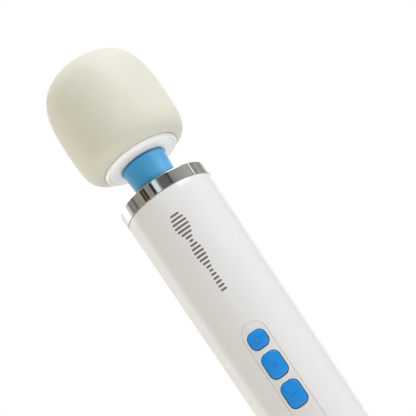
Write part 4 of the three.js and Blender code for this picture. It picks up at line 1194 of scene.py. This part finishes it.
def add_camera():
    """Looks up along the leaning wand, from in front of the panel and below the head."""
    turn, lift = math.radians(CAMERA_TURN), math.radians(CAMERA_LIFT)
    look = Vector((
        -math.sin(turn) * math.cos(lift), math.cos(turn) * math.cos(lift), math.sin(lift),
    ))
    data = bpy.data.cameras.new("camera")
    data.lens = CAMERA_LENS
    data.sensor_width = 36
    data.clip_start = 0.01
    data.clip_end = 100
    camera = bpy.data.objects.new("camera", data)
    camera.location = CAMERA_AIM - look * CAMERA_DISTANCE
    camera.rotation_mode = "QUATERNION"
    roll = Quaternion((0, 0, 1), -math.radians(CAMERA_ROLL))
    camera.rotation_quaternion = look.to_track_quat("-Z", "Y") @ roll
    bpy.context.scene.collection.objects.link(camera)
    bpy.context.scene.camera = camera


def add_floor():
    """A pale floor that the wand stands on."""
    bm = bmesh.new()
    bmesh.ops.create_grid(bm, x_segments=4, y_segments=4, size=4)
    floor = to_piece(bm, "floor")
    surface = Surface("floor_pale", IOR=1.45)
    cloud = surface.mapped(surface.noise(0.25, 2), 0, 1)
    surface.colour(cloud, (0.80, 0.80, 0.80), (0.82, 0.82, 0.82))
    surface.roughness(surface.noise(0.05, 2), 0.6, 0.7)
    floor.data.materials.append(surface.material)


# A studio for the polished ring to reflect: (azimuth from the camera, brightness, colour).
WARM = (1.0, 0.99, 0.93)
GREY = (1.0, 1.0, 0.93)
OLIVE = (1.0, 0.99, 0.84)
BROWN = (1.0, 0.62, 0.36)
WHITE = (1.0, 1.0, 1.0)
CYAN = (0.78, 0.97, 1.0)
STUDIO_LEFT = (
    (-180, 0.85, WARM), (-150, 0.9, WARM), (-130, 1.25, WARM), (-113, 1.9, WARM),
    (-107, 1.7, WARM), (-103, 0.8, WARM), (-95, 0.72, GREY), (-91, 0.24, OLIVE),
    (-86, 0.28, OLIVE), (-76, 0.30, OLIVE), (-72, 0.12, OLIVE), (-70, 0.14, OLIVE),
    (-67, 0.34, OLIVE), (-46, 0.38, OLIVE), (-44.5, 0.04, BROWN), (-41, 0.04, BROWN),
    (-39.5, 0.24, BROWN), (-37.5, 0.24, BROWN), (-36, 0.06, BROWN), (-32, 0.06, BROWN),
    (-29.5, 0.34, OLIVE), (-18, 0.28, GREY), (-16, 0.05, GREY), (-11, 0.035, GREY),
    (-7.5, 0.95, WHITE), (-3, 1.0, CYAN), (0, 0.98, CYAN),
)
STUDIO_RIGHT = (
    (0, 1.0, CYAN), (3, 0.5, CYAN), (6, 0.2, CYAN), (9, 0.15, GREY), (28, 0.14, GREY),
    (31, 0.07, GREY), (34, 0.07, GREY), (36.5, 0.27, GREY), (52, 0.38, GREY), (88, 0.5, GREY),
    (91, 0.52, GREY), (92, 0.15, GREY), (94, 0.15, GREY), (95, 1.3, WHITE), (97.5, 1.3, WHITE),
    (99, 0.36, OLIVE), (114, 0.34, OLIVE), (117, 0.7, WHITE), (120, 0.36, OLIVE),
    (146, 0.42, OLIVE), (152, 1.0, WARM), (180, 0.85, WARM),
)
CEILING = (0.92, 0.91, 0.88)
# The elevations between which the walls fade into the ceiling, in degrees.
WALL_END = 38
CEILING_START = 58


def add_world():
    """White for the camera, and for everything else a plain room of soft panels."""
    world = bpy.data.worlds.new("studio")
    bpy.context.scene.world = world
    world.use_nodes = True
    tree = world.node_tree
    tree.nodes.clear()

    direction = add_node(tree, "ShaderNodeTexCoord").outputs["Generated"]
    x, y, z = add_node(tree, "ShaderNodeSeparateXYZ", [(0, direction)]).outputs
    azimuth = calculate(tree, "ARCTAN2", x, calculate(tree, "MULTIPLY", y, -1.0))
    azimuth = calculate(tree, "SUBTRACT", azimuth, math.radians(CAMERA_TURN))
    to_right = calculate(tree, "GREATER_THAN", azimuth, 0.0)
    left = studio_half(tree, azimuth, STUDIO_LEFT, -180)
    right = studio_half(tree, azimuth, STUDIO_RIGHT, 0)
    walls = mix_colours(tree, to_right, left, right)
    lift = add_node(tree, "ShaderNodeMapRange", [
        ("Value", z),
        ("From Min", math.sin(math.radians(WALL_END))),
        ("From Max", math.sin(math.radians(CEILING_START))),
    ], interpolation_type="SMOOTHSTEP").outputs["Result"]
    room = mix_colours(tree, lift, walls, CEILING)

    lit = add_node(tree, "ShaderNodeBackground", [("Color", room)]).outputs[0]
    plain = add_node(tree, "ShaderNodeBackground", [("Color", (1, 1, 1, 1))]).outputs[0]
    seen = add_node(tree, "ShaderNodeLightPath").outputs["Is Camera Ray"]
    mix = add_node(tree, "ShaderNodeMixShader", [(0, seen), (1, lit), (2, plain)]).outputs[0]
    add_node(tree, "ShaderNodeOutputWorld", [("Surface", mix)])


def studio_half(tree, azimuth, stops, start):
    """Half of the studio's walls, from the azimuth `start` in degrees and 180 degrees on."""
    from_start = calculate(tree, "SUBTRACT", azimuth, math.radians(start))
    place = calculate(tree, "DIVIDE", from_start, math.pi)
    made = add_node(tree, "ShaderNodeValToRGB", [(0, place)])
    elements = made.color_ramp.elements
    elements.remove(elements[1])
    for i, (angle, brightness, colour) in enumerate(stops):
        element = elements[0] if i == 0 else elements.new((angle - start) / 180)
        element.position = (angle - start) / 180
        element.color = (*(brightness * c for c in colour), 1)
    return made.outputs["Color"]


def add_softbox(name, place, size, power, colour, reflected):
    """A square area light that faces the wand's upper half."""
    data = bpy.data.lights.new(name, "AREA")
    data.shape = "SQUARE"
    data.size = size
    data.energy = power
    data.color = colour
    lamp = bpy.data.objects.new(name, data)
    lamp.location = place
    lamp.visible_glossy = reflected
    target = Vector((0, 0, HANDLE_TOP_Z))
    lamp.rotation_mode = "QUATERNION"
    lamp.rotation_quaternion = (target - lamp.location).to_track_quat("-Z", "Y")
    bpy.context.scene.collection.objects.link(lamp)
    return lamp


def light_only(lamp, prefix):
    """Limits a light to the pieces whose names start alike."""
    lit = bpy.data.collections.new(lamp.name + "_receivers")
    for piece in bpy.context.scene.objects:
        if piece.name.startswith(prefix) and piece.type == "MESH":
            lit.objects.link(piece)
    lamp.light_linking.receiver_collection = lit
    lamp.light_linking.blocker_collection = lit


def add_lights():
    """The key and the fill, a rim light for the boot, a glow under the head, and the studio."""
    add_softbox("key", Vector((1.2, -0.6, 1.5)), 1.0, 21, (0.94, 0.97, 1.04), True)
    add_softbox("fill", Vector((-1.1, -1.0, 0.15)), 1.2, 6, (1.0, 0.84, 0.70), False)
    rim = add_softbox("neck_rim", Vector((1.5, -0.35, 0.62)), 1.0, 12, (1.0, 0.97, 0.95), True)
    light_only(rim, "neck_boot_")
    glow = add_softbox("head_glow", Vector((0, -0.22, 0.03)), 0.12, 0.28, (1.0, 0.95, 0.9), False)
    light_only(glow, "head_base_")
    add_world()
    settings = bpy.context.scene.view_settings
    settings.view_transform = "Standard"
    settings.look = "None"


# ---------------- assembly

add_camera()
dress_inner_nodes()
build_head()
build_neck()
build_neck_core()
build_ring()
build_top_cap()
build_front_casing()
build_rear_casing()
build_end_cap()
build_panel()
for button in BUTTONS:
    build_button(button)
build_ornament()
build_inlet()
add_floor()
add_lights()
